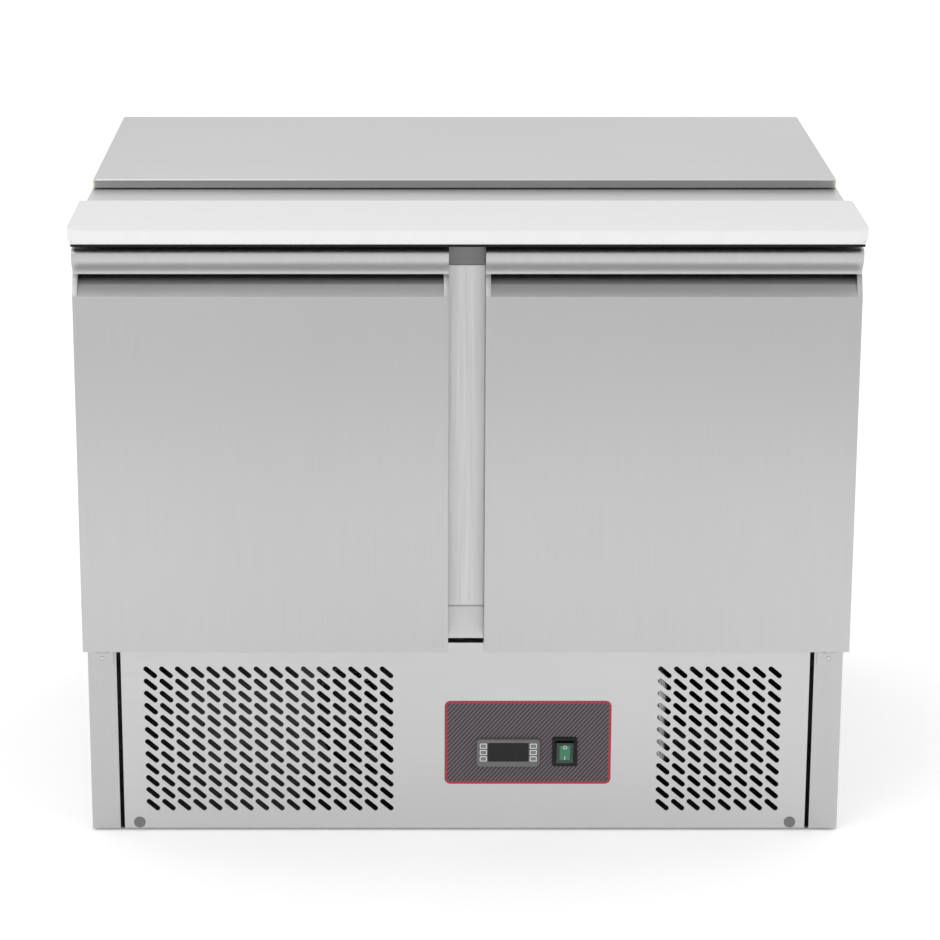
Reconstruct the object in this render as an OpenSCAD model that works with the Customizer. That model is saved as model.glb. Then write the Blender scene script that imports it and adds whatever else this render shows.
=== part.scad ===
// Refrigerated two-door sandwich prep table: stainless cabinet, flip-up lid over
// a row of food pans, white cutting board and a condensing unit behind a slotted panel.
// Millimetres. +Z is up, the doors face -Y, and the origin is on the floor under the
// centre of the whole object.

/* [Cabinet] */
// Width of the cabinet over its side panels
body_w = 900; // [840:1:1080]
// Depth of the cabinet, from its front frame to its rear panel
body_d = 624; // [560:1:760]
// Height of the worktop's rear deck above the floor
top_z = 750; // [720:1:900]
// Thickness of the steel sheets
sheet = 1; // [0.8:0.1:1.5]
// Thickness of the insulated walls
wall_t = 35; // [28:1:45]
// Width of the front posts, which are folded from the side panels
post_w = 34; // [26:1:40]
// Height of the levelling feet below the base, screwed fully in
foot_show = 3; // [3:1:20]

/* [Base] */
// Top of the slotted front panel above the floor
panel_top = 241; // [200:1:280]
// Gap between the front panel and the posts
panel_gap = 5; // [3:0.5:8]
// Gap between the front panel and the floor rail over it
rail_gap = 6; // [4:0.5:10]
// Height of the floor rail, the front edge of the insulated floor
rail_h = 41; // [36:1:60]
// Pitch of the slots across
slot_px = 18.8; // [17:0.1:22]
// Pitch of the slots up
slot_pz = 15.45; // [13:0.05:18]
// Overall length of one slot
slot_len = 19.7; // [12:0.1:21]
// Width of one slot
slot_w = 6.3; // [4:0.1:7]
// Slope of the slots, falling to the right
slot_tilt = 41; // [30:1:50]
// Rows of slots
slot_rows = 12; // [6:1:12]
// Columns of slots in the left block
left_cols = 16; // [8:1:16]
// Columns of slots in the right block
right_cols = 8; // [4:1:8]

/* [Doors] */
// Gap between the two doors, over the centre post
door_gap = 42; // [30:1:60]
// Depth of the door stack, from the front frame to the door's face
door_stack = 52; // [48:0.5:60]
// Clearance under the doors, over the front panel's top
door_low_gap = 7; // [6:0.5:12]
// Clearance between the doors and the worktop's folded edge
door_top_gap = 6; // [6:0.5:10]
// Height of the lip along the door's top
lip_h = 31; // [26:1:36]
// How far the lip's lower edge stands back from the door's face
lip_set = 18; // [12:1:20]
// Depth of the finger recess under the lip
recess_d = 27; // [24:1:30]
// Height of the finger recess
recess_h = 24; // [20:1:30]
// Thickness of the magnetic gasket between door and frame
gasket_t = 5.2; // [4:0.1:6]
// Hinge pin radius
pin_r = 4; // [3:0.5:5]
// Hinge axis, in from the door's outer edge
axis_in = 12; // [11:1:16]

/* [Top] */
// Drop from the rear deck to the ledge that carries the cutting board
ledge_drop = 5.5; // [4:0.5:10]
// Thickness of the cutting board
board_t = 15; // [10:0.5:25]
// Depth of the cutting board
board_d = 165.5; // [140:0.5:220]
// How far the board stands out in front of the doors
board_over = 24; // [16:1:40]
// How far the board stands out past each side
board_side = 4; // [0:0.5:10]
// Thickness of the lid
lid_t = 10.5; // [9:0.5:25]
// Width of the bare strip of deck between board and lid
deck_strip = 110; // [80:1:130]

/* [Food pans] */
// Width of one pan over its rim
pan_w = 265; // [250:1:265]
// Depth of one pan over its rim, front to back
pan_d = 325; // [300:1:340]
// Depth of the pans below the deck
pan_h = 150; // [65:1:150]
// Number of pans side by side
pan_n = 3; // [1:1:3]

/* [Controls] */
// Centre of the control label, right of the middle
label_x = 75.5; // [60:0.5:90]
// Height of the label's centre
label_z = 114; // [100:0.5:130]
// Width of the label
label_w = 200; // [190:1:230]
// Height of the label
label_h = 106.5; // [100:0.5:115]
// Width of the thermostat's front
thermo_w = 76; // [76:0.5:80]
// Height of the thermostat's front
thermo_h = 35; // [34:0.5:38]
// Travel of a thermostat key
key_travel = 0.6; // [0.3:0.1:1]
// Swing of the rocker switch, from one side to the other
rocker_swing = 12; // [8:1:14]

/* [Machinery] */
// Radius of the condenser fan's blades
fan_r = 72; // [60:1:80]
// Radius of the evaporator fan's blades
small_fan_r = 48; // [40:1:55]
// Radius of the compressor's shell
compressor_r = 72; // [55:1:80]

/* [Hidden] */
$fn = 48;

// Clearances: between touching pieces of one body, round a running pin, and round moving pieces
touch = 0.1;
run = 0.06;
free = 0.4;

// Main planes, front to back
rear_y = (body_d + door_stack + board_over) / 2;
front_y = rear_y - body_d;
door_y = front_y - door_stack;
board_y = door_y - board_over;
half_w = body_w / 2;

// Main levels, bottom to top
base_z = foot_show;
rail_z = panel_top + rail_gap;
floor_z = rail_z + rail_h;
door_z = panel_top + door_low_gap;
skirt_h = 12;
skirt_z = top_z - skirt_h;
door_top = skirt_z - door_top_gap;
door_h = door_top - door_z;
ledge_z = top_z - ledge_drop;
deck_t = 1.5;
foam_top = ledge_z - deck_t - 5.5;
top_rail_h = 35;
top_rail_z = skirt_z - top_rail_h;
liner_x = half_w - wall_t;
liner_y = rear_y - wall_t;

// Steel colour of the model
steel = [0.78, 0.78, 0.79];
dark = [0.12, 0.12, 0.13];
foam_colour = [0.93, 0.85, 0.6];

module box(x0, x1, y0, y1, z0, z1) translate([x0, y0, z0]) cube([x1 - x0, y1 - y0, z1 - z0]);

module both_sides() {
    children();
    mirror([1, 0, 0]) children();
}

module rounded(w, h, r) {
    square([w - 2 * r, h], center = true);
    square([w, h - 2 * r], center = true);
    for (x = [-1, 1], y = [-1, 1]) translate([x * (w / 2 - r), y * (h / 2 - r)]) circle(r);
}

// A flat shape in X and Z becomes a plate that starts at y0 and is t thick towards the rear
module plate(y0, t) translate([0, y0 + t, 0]) rotate([90, 0, 0]) linear_extrude(t) children();

// A cylinder along Y that starts at y0
module rod_y(x, z, r, y0, l) translate([x, y0 + l, z]) rotate([90, 0, 0]) cylinder(r = r, h = l);

// A tube along straight runs between points, with a soldered ball fitting at each bend
module pipe(points, r) {
    for (i = [0:len(points) - 2]) {
        d = points[i + 1] - points[i];
        flat = norm([d[0], d[1]]);
        translate(points[i]) rotate([0, atan2(flat, d[2]), atan2(d[1], d[0])])
            cylinder(r = r, h = norm(d), $fn = 8);
        if (i > 0) translate(points[i]) sphere(r = 1.4 * r, $fn = 10);
    }
}

// ---- cabinet shell ----

module side_panel() color(steel) {
    box(-half_w, -half_w + sheet, front_y, rear_y, base_z, skirt_z);
    box(-half_w + sheet, -half_w + post_w, front_y, front_y + sheet, base_z, foam_top - 3);
}

module left_side_panel() side_panel();

module right_side_panel() mirror([1, 0, 0]) side_panel();

vent_n = 14;
vent_pitch = 20;
vent_w = 8;
vent_h = 120;
gland_x = 300;
gland_z = 40;
gland_r = 9;

module rear_panel() color(steel) difference() {
    box(-half_w + sheet, half_w - sheet, rear_y - sheet, rear_y, base_z, skirt_z);
    for (s = [-1, 1], i = [0:vent_n - 1])
        box(s * 240 + (i - vent_n / 2) * vent_pitch, s * 240 + (i - vent_n / 2) * vent_pitch + vent_w,
            rear_y - 2 * sheet, rear_y + sheet, 70, 70 + vent_h);
    rod_y(gland_x, gland_z, gland_r + touch, rear_y - 2 * sheet, 3 * sheet);
}

foot_in = 45;
foot_r = 18;
stud_r = 5;

module at_feet() {
    for (x = [-1, 1], y = [front_y + foot_in, rear_y - foot_in])
        translate([x * (half_w - foot_in), y, 0]) children();
}

module levelling_feet() color(dark) at_feet() {
    cylinder(r = foot_r, h = base_z);
    cylinder(r = stud_r, h = base_z + 18);
}

tray_t = 1.5;

module base_tray() color(steel) difference() {
    box(-half_w + sheet, half_w - sheet, front_y + sheet + touch, rear_y - sheet, base_z, base_z + tray_t);
    at_feet() translate([0, 0, base_z - 1]) cylinder(r = stud_r + touch, h = tray_t + 2);
}

// Front rail of the insulated floor, with the sheet that closes the floor from below
module floor_panel() color(steel) {
    inner = half_w - post_w - touch;
    box(-inner, inner, front_y, front_y + sheet, rail_z, floor_z - sheet - touch);
    box(-half_w + sheet, half_w - sheet, front_y + sheet + touch, rear_y - sheet, rail_z, rail_z + sheet);
    box(-inner, inner, front_y, front_y + sheet + 2 * touch, rail_z, rail_z + sheet);
}

well_y = rear_y - 217;
pan_lip = 12;
pan_row = pan_n * pan_w;
well_x = pan_row / 2 - pan_lip + 0.5;
well_half_d = pan_d / 2 - pan_lip;
trough_y = well_y - pan_d / 2 - 20;

// Rail above the doors: a folded trough under the board's ledge, filled with foam
module top_rail() color(steel) {
    inner = half_w - wall_t - 2 * touch;
    box(-inner, inner, front_y, front_y + sheet, top_rail_z, foam_top - 1);
    box(-inner + 1, inner - 1, front_y + sheet, trough_y, top_rail_z, top_rail_z + sheet);
    box(-inner + 1, inner - 1, trough_y - sheet, trough_y, top_rail_z, foam_top - 1);
}

mullion_w = 90;
mullion_d = 24;

module mullion() color(steel)
    box(-mullion_w / 2, mullion_w / 2, front_y, front_y + mullion_d, floor_z + touch, top_rail_z - touch);

module wall_foam() color(foam_colour) {
    edge = half_w - sheet - touch;
    front = front_y + sheet + 2 * touch;
    difference() {
        box(-edge, edge, front, rear_y - sheet - touch, rail_z + sheet + touch, foam_top);
        box(-liner_x - touch, liner_x + touch, front - 1, liner_y + touch, floor_z - sheet - touch, foam_top + 1);
    }
    box(-liner_x + 3, liner_x - 3, front, trough_y - sheet - touch, top_rail_z + sheet + touch, foam_top - 1);
}

module inner_liner() color(steel) difference() {
    box(-liner_x, liner_x, front_y + sheet + 2 * touch, liner_y, floor_z - sheet, foam_top);
    box(-liner_x + sheet, liner_x - sheet, front_y, liner_y - sheet, floor_z, foam_top + 1);
}

// ---- top ----

skirt_y = board_y + 12;
ledge_y = board_y + board_d + 0.5;
pin_in = 120;
board_pin_r = 5;
board_pin_h = 8;
bracket_t = 3;
axis_x = half_w - axis_in;
axis_y = door_y + 22;
top_screws = [[-half_w + 20, front_y + 8], [-half_w + 20, front_y + 26]];

module at_board_pins() for (x = [-1, 1]) translate([x * (half_w - pin_in), board_y + board_d / 2, 0]) children();

module worktop() color(steel) difference() {
    union() {
        box(-half_w, half_w, ledge_y, rear_y, top_z - deck_t, top_z);
        box(-half_w, half_w, ledge_y, ledge_y + deck_t, ledge_z - deck_t, top_z);
        box(-half_w, half_w, skirt_y, ledge_y + deck_t, ledge_z - deck_t, ledge_z);
        box(-half_w, half_w, skirt_y, skirt_y + sheet, skirt_z, ledge_z);
        both_sides() box(-half_w, -half_w + sheet, skirt_y, rear_y, skirt_z, ledge_z);
        both_sides() box(-half_w, -half_w + sheet, ledge_y, rear_y, skirt_z, top_z);
        box(-half_w, half_w, rear_y - sheet, rear_y, skirt_z, top_z);
    }
    box(-well_x, well_x, well_y - well_half_d, well_y + well_half_d, skirt_z, top_z + 1);
    both_sides() for (p = top_screws) translate([p[0], p[1], skirt_z]) cylinder(r = screw_r + touch, h = skirt_h);
    at_board_pins() translate([0, 0, skirt_z]) cylinder(r = board_pin_r - 2 + touch, h = skirt_h);
}

module board_pins() color(steel) at_board_pins() {
    translate([0, 0, ledge_z]) cylinder(r = board_pin_r, h = board_pin_h);
    translate([0, 0, ledge_z - deck_t - 2]) cylinder(r = board_pin_r - 2, h = deck_t + 3);
}

board_corner = 28;

module cutting_board() color("white") difference() {
    union() {
        box(-half_w - board_side, half_w + board_side, board_y + board_corner, board_y + board_d, ledge_z, ledge_z + board_t);
        box(-half_w - board_side + board_corner, half_w + board_side - board_corner,
            board_y, board_y + board_corner, ledge_z, ledge_z + board_t);
        both_sides() translate([half_w + board_side - board_corner, board_y + board_corner, ledge_z])
            cylinder(r = board_corner, h = board_t);
    }
    at_board_pins() translate([0, 0, ledge_z - 1]) cylinder(r = board_pin_r + free, h = board_pin_h + 2);
}

bar_w = 18;

module pan_bars() color(steel)
    for (i = [1:1:pan_n - 1]) {
        x = -pan_row / 2 + i * pan_w;
        box(x - bar_w / 2, x + bar_w / 2, well_y - well_half_d, well_y + well_half_d, top_z - 3, top_z);
    }

rim_t = 1;
pan_corner = 26;

module food_pan() {
    w = pan_w - 2 * pan_lip - 2;
    d = pan_d - 2 * pan_lip - 2;
    difference() {
        union() {
            translate([0, 0, top_z]) linear_extrude(rim_t) rounded(pan_w - 0.5, pan_d, pan_corner / 2);
            translate([0, 0, top_z - pan_h]) linear_extrude(pan_h) rounded(w, d, pan_corner);
        }
        translate([0, 0, top_z - pan_h + 1]) linear_extrude(pan_h + 1) rounded(w - 2, d - 2, pan_corner - 1);
    }
}

module food_pans() color(steel)
    for (i = [0:pan_n - 1]) translate([-pan_row / 2 + (i + 0.5) * pan_w, well_y, 0]) food_pan();

// ---- front panel and controls ----

panel_half = half_w - post_w - panel_gap;
block_top = panel_top - 37.5;
left_block = -half_w + 74;
right_block = half_w - 80 - (right_cols - 1) * slot_px;
screw_head_r = 7;
cap_z = base_z + screw_head_r + 1;
cap_in = 18;
thermo_x = label_x - 23.5;
thermo_z = label_z - 12.5;
switch_x = label_x + 44.5;
switch_z = label_z - 11.5;
switch_w = 30;
switch_h = 37;
switch_body_w = 27;
switch_body_h = 32;
screw_r = 2.5;

module slot() {
    straight = slot_len - slot_w;
    rotate(-slot_tilt) {
        square([straight, slot_w], center = true);
        for (s = [-1, 1]) translate([s * straight / 2, 0]) circle(d = slot_w, $fn = 24);
    }
}

module slots(x, cols)
    for (i = [0:cols - 1], j = [0:slot_rows - 1]) translate([x + i * slot_px, block_top - j * slot_pz]) slot();

module control_cutouts(c) {
    translate([thermo_x, thermo_z]) square([thermo_w - 5 + 2 * c, thermo_h - 6 + 2 * c], center = true);
    translate([switch_x, switch_z]) square([switch_body_w + 2 * c, switch_body_h + 2 * c], center = true);
}

module front_panel() color(steel) {
    plate(front_y, sheet) difference() {
        translate([-panel_half, base_z + 0.5]) square([2 * panel_half, panel_top - base_z - 0.5]);
        slots(left_block, left_cols);
        slots(right_block, right_cols);
        control_cutouts(touch);
        for (s = [-1, 1]) translate([s * (panel_half - cap_in), cap_z]) circle(screw_r + touch);
    }
    box(-panel_half, panel_half, front_y + sheet, front_y + 16, panel_top - sheet, panel_top);
}

module panel_screws() color("gray") for (s = [-1, 1]) {
    rod_y(s * (panel_half - cap_in), cap_z, screw_head_r, front_y - 1.5, 1.5);
    rod_y(s * (panel_half - cap_in), cap_z, screw_r, front_y - 1, 14);
}

label_t = 0.3;

module control_label() color([0.3, 0.28, 0.3]) plate(front_y - label_t, label_t) difference() {
    translate([label_x, label_z]) rounded(label_w, label_h, 7);
    control_cutouts(touch);
}

face_y = front_y - label_t;
bezel_t = 4;
key_w = 9;
key_h = 7;
key_pitch = 8.2;
key_x = thermo_w / 2 - 8;
window_w = thermo_w - 27;
window_h = 24;

module thermostat_case() color([0.45, 0.45, 0.46]) difference() {
    union() {
        plate(face_y - bezel_t, bezel_t) translate([thermo_x, thermo_z]) rounded(thermo_w, thermo_h, 2);
        plate(face_y, 50) translate([thermo_x, thermo_z]) square([thermo_w - 5, thermo_h - 6], center = true);
    }
    plate(face_y - bezel_t - 1, 2) translate([thermo_x, thermo_z + 1.5]) square([window_w, window_h], center = true);
    for (s = [-1, 1], k = [-1:1])
        plate(face_y - bezel_t - 1, bezel_t + 4) translate([thermo_x + s * key_x, thermo_z + 1.5 + k * key_pitch])
            square([key_w + 2 * free - 0.2, key_h + 2 * free - 0.2], center = true);
}

module thermostat_window() color(dark)
    plate(face_y - bezel_t + 0.1, 0.9) translate([thermo_x, thermo_z + 1.5])
        square([window_w - 2 * touch, window_h - 2 * touch], center = true);

module key(s, k) color([0.6, 0.6, 0.61])
    plate(face_y - bezel_t - key_travel - 0.2, bezel_t + 2)
        translate([thermo_x + s * key_x, thermo_z + 1.5 + k * key_pitch]) square([key_w, key_h], center = true);

module switch_bezel() color(dark) difference() {
    union() {
        plate(face_y - 2.5, 2.5) translate([switch_x, switch_z]) rounded(switch_w, switch_h, 2);
        plate(face_y, 24) translate([switch_x, switch_z]) square([switch_body_w, switch_body_h], center = true);
    }
    plate(face_y - 3, 12) translate([switch_x, switch_z]) square([rocker_w + 2 * free, rocker_h + 4 * free], center = true);
}

rocker_w = 21;
rocker_h = 27;

// The rocker is stored with its lower half pressed in
module switch_rocker() color([0.05, 0.35, 0.2])
    translate([switch_x - rocker_w / 2, face_y, switch_z]) rotate([rocker_swing / 2, 0, 0])
        rotate([90, 0, 90]) linear_extrude(rocker_w)
            polygon([[4, -rocker_h / 2 + 3], [-4.6, -rocker_h / 2], [-3.4, 0], [-4.6, rocker_h / 2], [4, rocker_h / 2 - 3]]);

// ---- door hinges ----

bracket_z = door_z - 3 - bracket_t;
top_bracket_z = ledge_z - deck_t - bracket_t;
leg_h = 28;
leg_t = 2;
pin_depth = 16;
bottom_screw_z = [bracket_z - 8, bracket_z - 20];

module top_hinge_brackets() color(steel) both_sides() {
    difference() {
        union() {
            box(-half_w + 3, -half_w + 37, axis_y, front_y + 34, top_bracket_z, top_bracket_z + bracket_t);
            translate([-half_w + 20, axis_y, top_bracket_z]) cylinder(r = 17, h = bracket_t);
        }
        for (p = top_screws) translate([p[0], p[1], top_bracket_z - 1]) cylinder(r = screw_r + touch, h = bracket_t + 2);
    }
    translate([-axis_x, axis_y, door_top - pin_depth]) cylinder(r = pin_r, h = top_bracket_z + 1 - door_top + pin_depth);
    translate([-axis_x, axis_y, door_top + 1]) cylinder(r = pin_r + 3, h = top_bracket_z + 0.5 - door_top - 1);
}

module bottom_hinge_brackets() color(steel) both_sides() {
    difference() {
        union() {
            box(-half_w + 3, -half_w + 31, axis_y, front_y, bracket_z, bracket_z + bracket_t);
            translate([-half_w + 17, axis_y, bracket_z]) cylinder(r = 14, h = bracket_t);
            box(-half_w + 3, -half_w + 31, front_y - leg_t, front_y, bracket_z - leg_h, bracket_z + bracket_t);
        }
        for (z = bottom_screw_z) rod_y(-half_w + 17, z, screw_r + touch, front_y - leg_t - 1, leg_t + 2);
    }
    translate([-axis_x, axis_y, bracket_z + 1]) cylinder(r = pin_r, h = bracket_t - 1 + door_z - bracket_z - bracket_t + pin_depth);
    translate([-axis_x, axis_y, bracket_z + 1]) cylinder(r = pin_r + 3, h = bracket_t + 1);
}

module hinge_screws() color("gray") both_sides() {
    for (p = top_screws) translate([p[0], p[1], 0]) {
        translate([0, 0, top_bracket_z - 2]) cylinder(r = 4.5, h = 2);
        translate([0, 0, top_bracket_z - 1]) cylinder(r = screw_r, h = bracket_t + deck_t + 1 - touch);
    }
    for (z = bottom_screw_z) {
        rod_y(-half_w + 17, z, 4.5, front_y - leg_t - 1.8, 1.8);
        rod_y(-half_w + 17, z, screw_r, front_y - leg_t - 1, leg_t + 1 - touch);
    }
}

// ---- doors, drawn as the left one ----

door_body = door_stack - gasket_t - 0.3;
liner_t = 1.5;
shell_d = door_body - liner_t;
cap_w = 6;
lip_z = door_top - lip_h;
recess_z = lip_z - recess_h;
lip_round = 10;
bevel = 6;

function arc(cu, cz, ru, rz, a0, a1, n) =
    [for (i = [0:n]) let (a = a0 + (a1 - a0) * i / n) [cu + ru * cos(a), cz + rz * sin(a)]];

// Front of the door, seen from the side: the lip swings back in an ogee to its lower edge.
// e is how far the line lies inside the outer skin.
function lip_line(e) = concat(
    [for (i = [0:8]) let (t = 1 - i / 8)
        [e + lip_set / 2 * (1 - cos(180 * t)), lip_z + e + (1 - t) * (lip_h - lip_round - e)]],
    arc(lip_round, door_top - lip_round, lip_round - e, lip_round - e, 162, 90, 4));

function recess_line(e) = concat(
    [[e, recess_z - e / 2]],
    arc(bevel, lip_z - 4, recess_d - bevel + e, recess_h - 8 + e, -90, 0, 7),
    [[recess_d + e, lip_z + e]]);

function door_line(e, rear) = concat([[e, door_z + e]], recess_line(e), lip_line(e), [[rear, door_top - e], [rear, door_z + e]]);

function cap_line(rear) = concat([[0, door_z], [0, recess_z], [9, lip_z - 4]], lip_line(0), [[rear, door_top], [rear, door_z]]);

// Extrudes a side view along X, from x0 to x1
module along_x(x0, x1) translate([x0, door_y, 0]) rotate([90, 0, 90]) linear_extrude(x1 - x0) children();

door_x0 = -half_w;
door_x1 = -door_gap / 2;

module hinge_bores(r) translate([-axis_x, axis_y, 0]) {
    translate([0, 0, door_top - pin_depth - 0.5]) cylinder(r = r, h = pin_depth + 2);
    translate([0, 0, door_z - 1]) cylinder(r = r, h = pin_depth + 1.5);
}

module door_skin() color(steel) difference() {
    union() {
        along_x(door_x0 + cap_w, door_x1 - cap_w) polygon(door_line(0, shell_d));
        along_x(door_x0, door_x0 + cap_w) polygon(cap_line(shell_d));
        along_x(door_x1 - cap_w, door_x1) polygon(cap_line(shell_d));
    }
    along_x(door_x0 + sheet, door_x1 - sheet) polygon(door_line(sheet, shell_d + 1));
    hinge_bores(pin_r + run);
}

module door_foam() color(foam_colour) difference() {
    along_x(door_x0 + sheet + touch, door_x1 - sheet - touch) polygon(door_line(sheet + touch, shell_d - touch));
    hinge_bores(pin_r + 3 * touch);
}

module door_liner() color([0.85, 0.85, 0.86]) {
    box(door_x0, door_x1, door_y + shell_d, door_y + door_body, door_z, door_top);
}

gasket_w = 12;
hinge_inset = 16;
free_inset = 8;
gasket_low = 10;
gasket_high = 12;

module door_gasket() color([0.75, 0.75, 0.76]) plate(door_y + door_body, gasket_t) difference() {
    translate([door_x0 + hinge_inset, door_z + gasket_low])
        square([door_x1 - door_x0 - hinge_inset - free_inset, door_h - gasket_low - gasket_high]);
    translate([door_x0 + hinge_inset + gasket_w, door_z + gasket_low + gasket_w])
        square([door_x1 - door_x0 - hinge_inset - free_inset - 2 * gasket_w,
                door_h - gasket_low - gasket_high - 2 * gasket_w]);
}

module left_door_skin() door_skin();
module left_door_foam() door_foam();
module left_door_liner() door_liner();
module left_door_gasket() door_gasket();
module right_door_skin() mirror([1, 0, 0]) door_skin();
module right_door_foam() mirror([1, 0, 0]) door_foam();
module right_door_liner() mirror([1, 0, 0]) door_liner();
module right_door_gasket() mirror([1, 0, 0]) door_gasket();

// ---- lid ----

lid_low = top_z + 1.5;
lid_z = lid_low + lid_t;
lid_y = ledge_y + deck_strip;
lid_x = half_w - 1;
knuckle_r = 4;
lid_pin_r = 2;
lid_axis_y = rear_y - knuckle_r - 1;
lid_axis_z = top_z + knuckle_r + 2;
lid_rear = lid_axis_y - knuckle_r - 0.5;
hinge_x = half_w - 110;
knuckle_l = 30;

module lid_skin() color(steel) difference() {
    box(-lid_x, lid_x, lid_y, lid_rear, lid_low, lid_z);
    box(-lid_x + sheet, lid_x - sheet, lid_y + sheet, lid_rear - sheet, lid_low - 1, lid_z - sheet);
}

module lid_inside(z0, z1)
    box(-lid_x + sheet + touch, lid_x - sheet - touch, lid_y + sheet + touch, lid_rear - sheet - touch, z0, z1);

module lid_liner() color(steel) lid_inside(lid_low, lid_low + 0.8);

module lid_foam() color(foam_colour) lid_inside(lid_low + 0.8 + touch, lid_z - sheet - touch);

module along_lid_hinge(x, l, r) translate([x, lid_axis_y, lid_axis_z]) rotate([0, 90, 0]) cylinder(r = r, h = l);

module lid_hinge_bases() color(steel) both_sides() for (s = [0, 1]) difference() {
    x = hinge_x + s * 2 * (knuckle_l + 0.3);
    union() {
        box(x, x + knuckle_l, lid_axis_y - 2.5, lid_axis_y + 2.5, top_z, lid_axis_z);
        along_lid_hinge(x, knuckle_l, knuckle_r);
    }
    along_lid_hinge(x - 1, knuckle_l + 2, lid_pin_r + 0.02);
}

module lid_hinge_pins() color(steel) both_sides() along_lid_hinge(hinge_x - 2, 3 * knuckle_l + 4.6, lid_pin_r);

module lid_hinge_arms() color(steel) both_sides() difference() {
    x = hinge_x + knuckle_l + 0.3;
    union() {
        box(x, x + knuckle_l, lid_rear, lid_axis_y, lid_axis_z - 2, lid_axis_z + 3);
        along_lid_hinge(x, knuckle_l, knuckle_r);
    }
    along_lid_hinge(x - 1, knuckle_l + 2, lid_pin_r + run);
}

// ---- inside the cabinet ----

shelf_z = floor_z + 152;
rod_r = 3;
cross_r = 2.5;
wire_r = 1.5;
wire_pitch = 24;
runner_t = 1.5;
shelf_x0 = -liner_x + sheet + 5;
shelf_x1 = -46;
shelf_y0 = front_y + 32;
shelf_y1 = liner_y - 74;

// One welded wire shelf: side rods, cross rods between them, and thinner wires on top
module shelf() color("silver") {
    for (x = [shelf_x0 + rod_r, shelf_x1 - rod_r])
        rod_y(x, shelf_z, rod_r, shelf_y0, shelf_y1 - shelf_y0, $fn = 8);
    for (y = [shelf_y0 + 8, (shelf_y0 + shelf_y1) / 2, shelf_y1 - 8])
        translate([shelf_x0 + rod_r, y, shelf_z]) rotate([0, 90, 0])
            cylinder(r = cross_r, h = shelf_x1 - shelf_x0 - 2 * rod_r, $fn = 8);
    for (x = [shelf_x0 + wire_pitch:wire_pitch:shelf_x1 - wire_pitch / 2])
        rod_y(x, shelf_z + cross_r + 0.7, wire_r, shelf_y0, shelf_y1 - shelf_y0, $fn = 8);
}

module left_shelf() shelf();
module right_shelf() mirror([1, 0, 0]) shelf();

module shelf_runners() color("silver") both_sides() {
    z = shelf_z - rod_r - touch;
    box(-liner_x + sheet + touch, -liner_x + sheet + 18, shelf_y0, liner_y - sheet - touch, z - runner_t, z);
    box(-liner_x + sheet + touch, -liner_x + sheet + touch + runner_t, shelf_y0, liner_y - sheet - touch, z - 14, z);
    box(shelf_x1 - 14, shelf_x1 + 6, front_y + mullion_d + touch, liner_y - sheet - touch, z - runner_t, z);
    box(shelf_x1 + 6 - runner_t, shelf_x1 + 6, front_y + mullion_d + touch, liner_y - sheet - touch, z - 14, z);
}

evap_w = 260;
evap_z0 = shelf_z + 12;
evap_h = 130;
evap_y = liner_y - sheet - 60;
evap_mid = evap_z0 + evap_h / 2;
fin_n = 16;

module evaporator_coil() color([0.7, 0.7, 0.72]) {
    y1 = liner_y - sheet - touch;
    w = evap_w - 40;
    for (i = [0:fin_n]) {
        x = -w / 2 + i * w / fin_n;
        box(x - 0.6, x + 0.6, y1 - 26, y1, evap_z0 + 8, evap_z0 + evap_h - 8);
    }
    for (k = [0:3], y = [y1 - 19, y1 - 7])
        translate([-w / 2 - 8, y, evap_z0 + 22 + k * (evap_h - 44) / 3]) rotate([0, 90, 0]) cylinder(r = 4, h = w + 16, $fn = 20);
}

motor_r = 16;

// Housing over the coil, with the fan's ring, three stays and the motor
module evaporator_cover() color([0.9, 0.9, 0.9]) {
    y1 = liner_y - sheet - touch;
    difference() {
        box(-evap_w / 2, evap_w / 2, evap_y, y1, evap_z0, evap_z0 + evap_h);
        box(-evap_w / 2 + 2, evap_w / 2 - 2, evap_y + 2, y1 + 1, evap_z0 + 2, evap_z0 + evap_h - 2);
        rod_y(0, evap_mid, small_fan_r + 4, evap_y - 1, 4);
    }
    for (a = [90, 210, 330]) translate([0, evap_y + 22, evap_mid]) rotate([0, -a, 0])
        box(motor_r - 2, small_fan_r + 6, -1.5, 1.5, -2, 2);
    rod_y(0, evap_mid, motor_r, evap_y + 17, 12);
    rod_y(0, evap_mid, 2.5, evap_y + 4, 14);
    for (a = [90, 210, 330]) translate([0, evap_y + 2, evap_mid]) rotate([0, -a, 0])
        box(small_fan_r + 5, small_fan_r + 8, 0, 21.5, -2, 2);
}

// An axial fan about Y: hub and pitched blades
module fan(r, hub_r, depth, blades) {
    difference() {
        union() {
            translate([0, depth / 2, 0]) rotate([90, 0, 0]) cylinder(r = hub_r, h = depth);
            for (i = [0:blades - 1]) rotate([0, i * 360 / blades, 0])
                translate([(hub_r + r) / 2 - 1, 0, 0]) rotate([28, 0, 0])
                    cube([r - hub_r, 1.6, 0.62 * r], center = true);
        }
        translate([0, depth / 2 + 1, 0]) rotate([90, 0, 0]) cylinder(r = 2.5 + run, h = depth + 2);
        difference() {
            translate([0, 2 * depth, 0]) rotate([90, 0, 0]) cylinder(r = 2 * r, h = 4 * depth);
            translate([0, 3 * depth, 0]) rotate([90, 0, 0]) cylinder(r = r, h = 6 * depth);
        }
    }
}

module evaporator_fan() color(dark) translate([0, evap_y + 9, evap_mid]) fan(small_fan_r, 14, 8, 5);

// ---- condensing unit ----

unit_z = base_z + tray_t + touch;
cond_x = left_block + 14.4 * slot_px;
cond_z = 128;
cond_w = 190;
cond_h = 200;
cond_y = front_y + 100;
cond_d = 44;
shroud_y = cond_y - 42;

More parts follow.
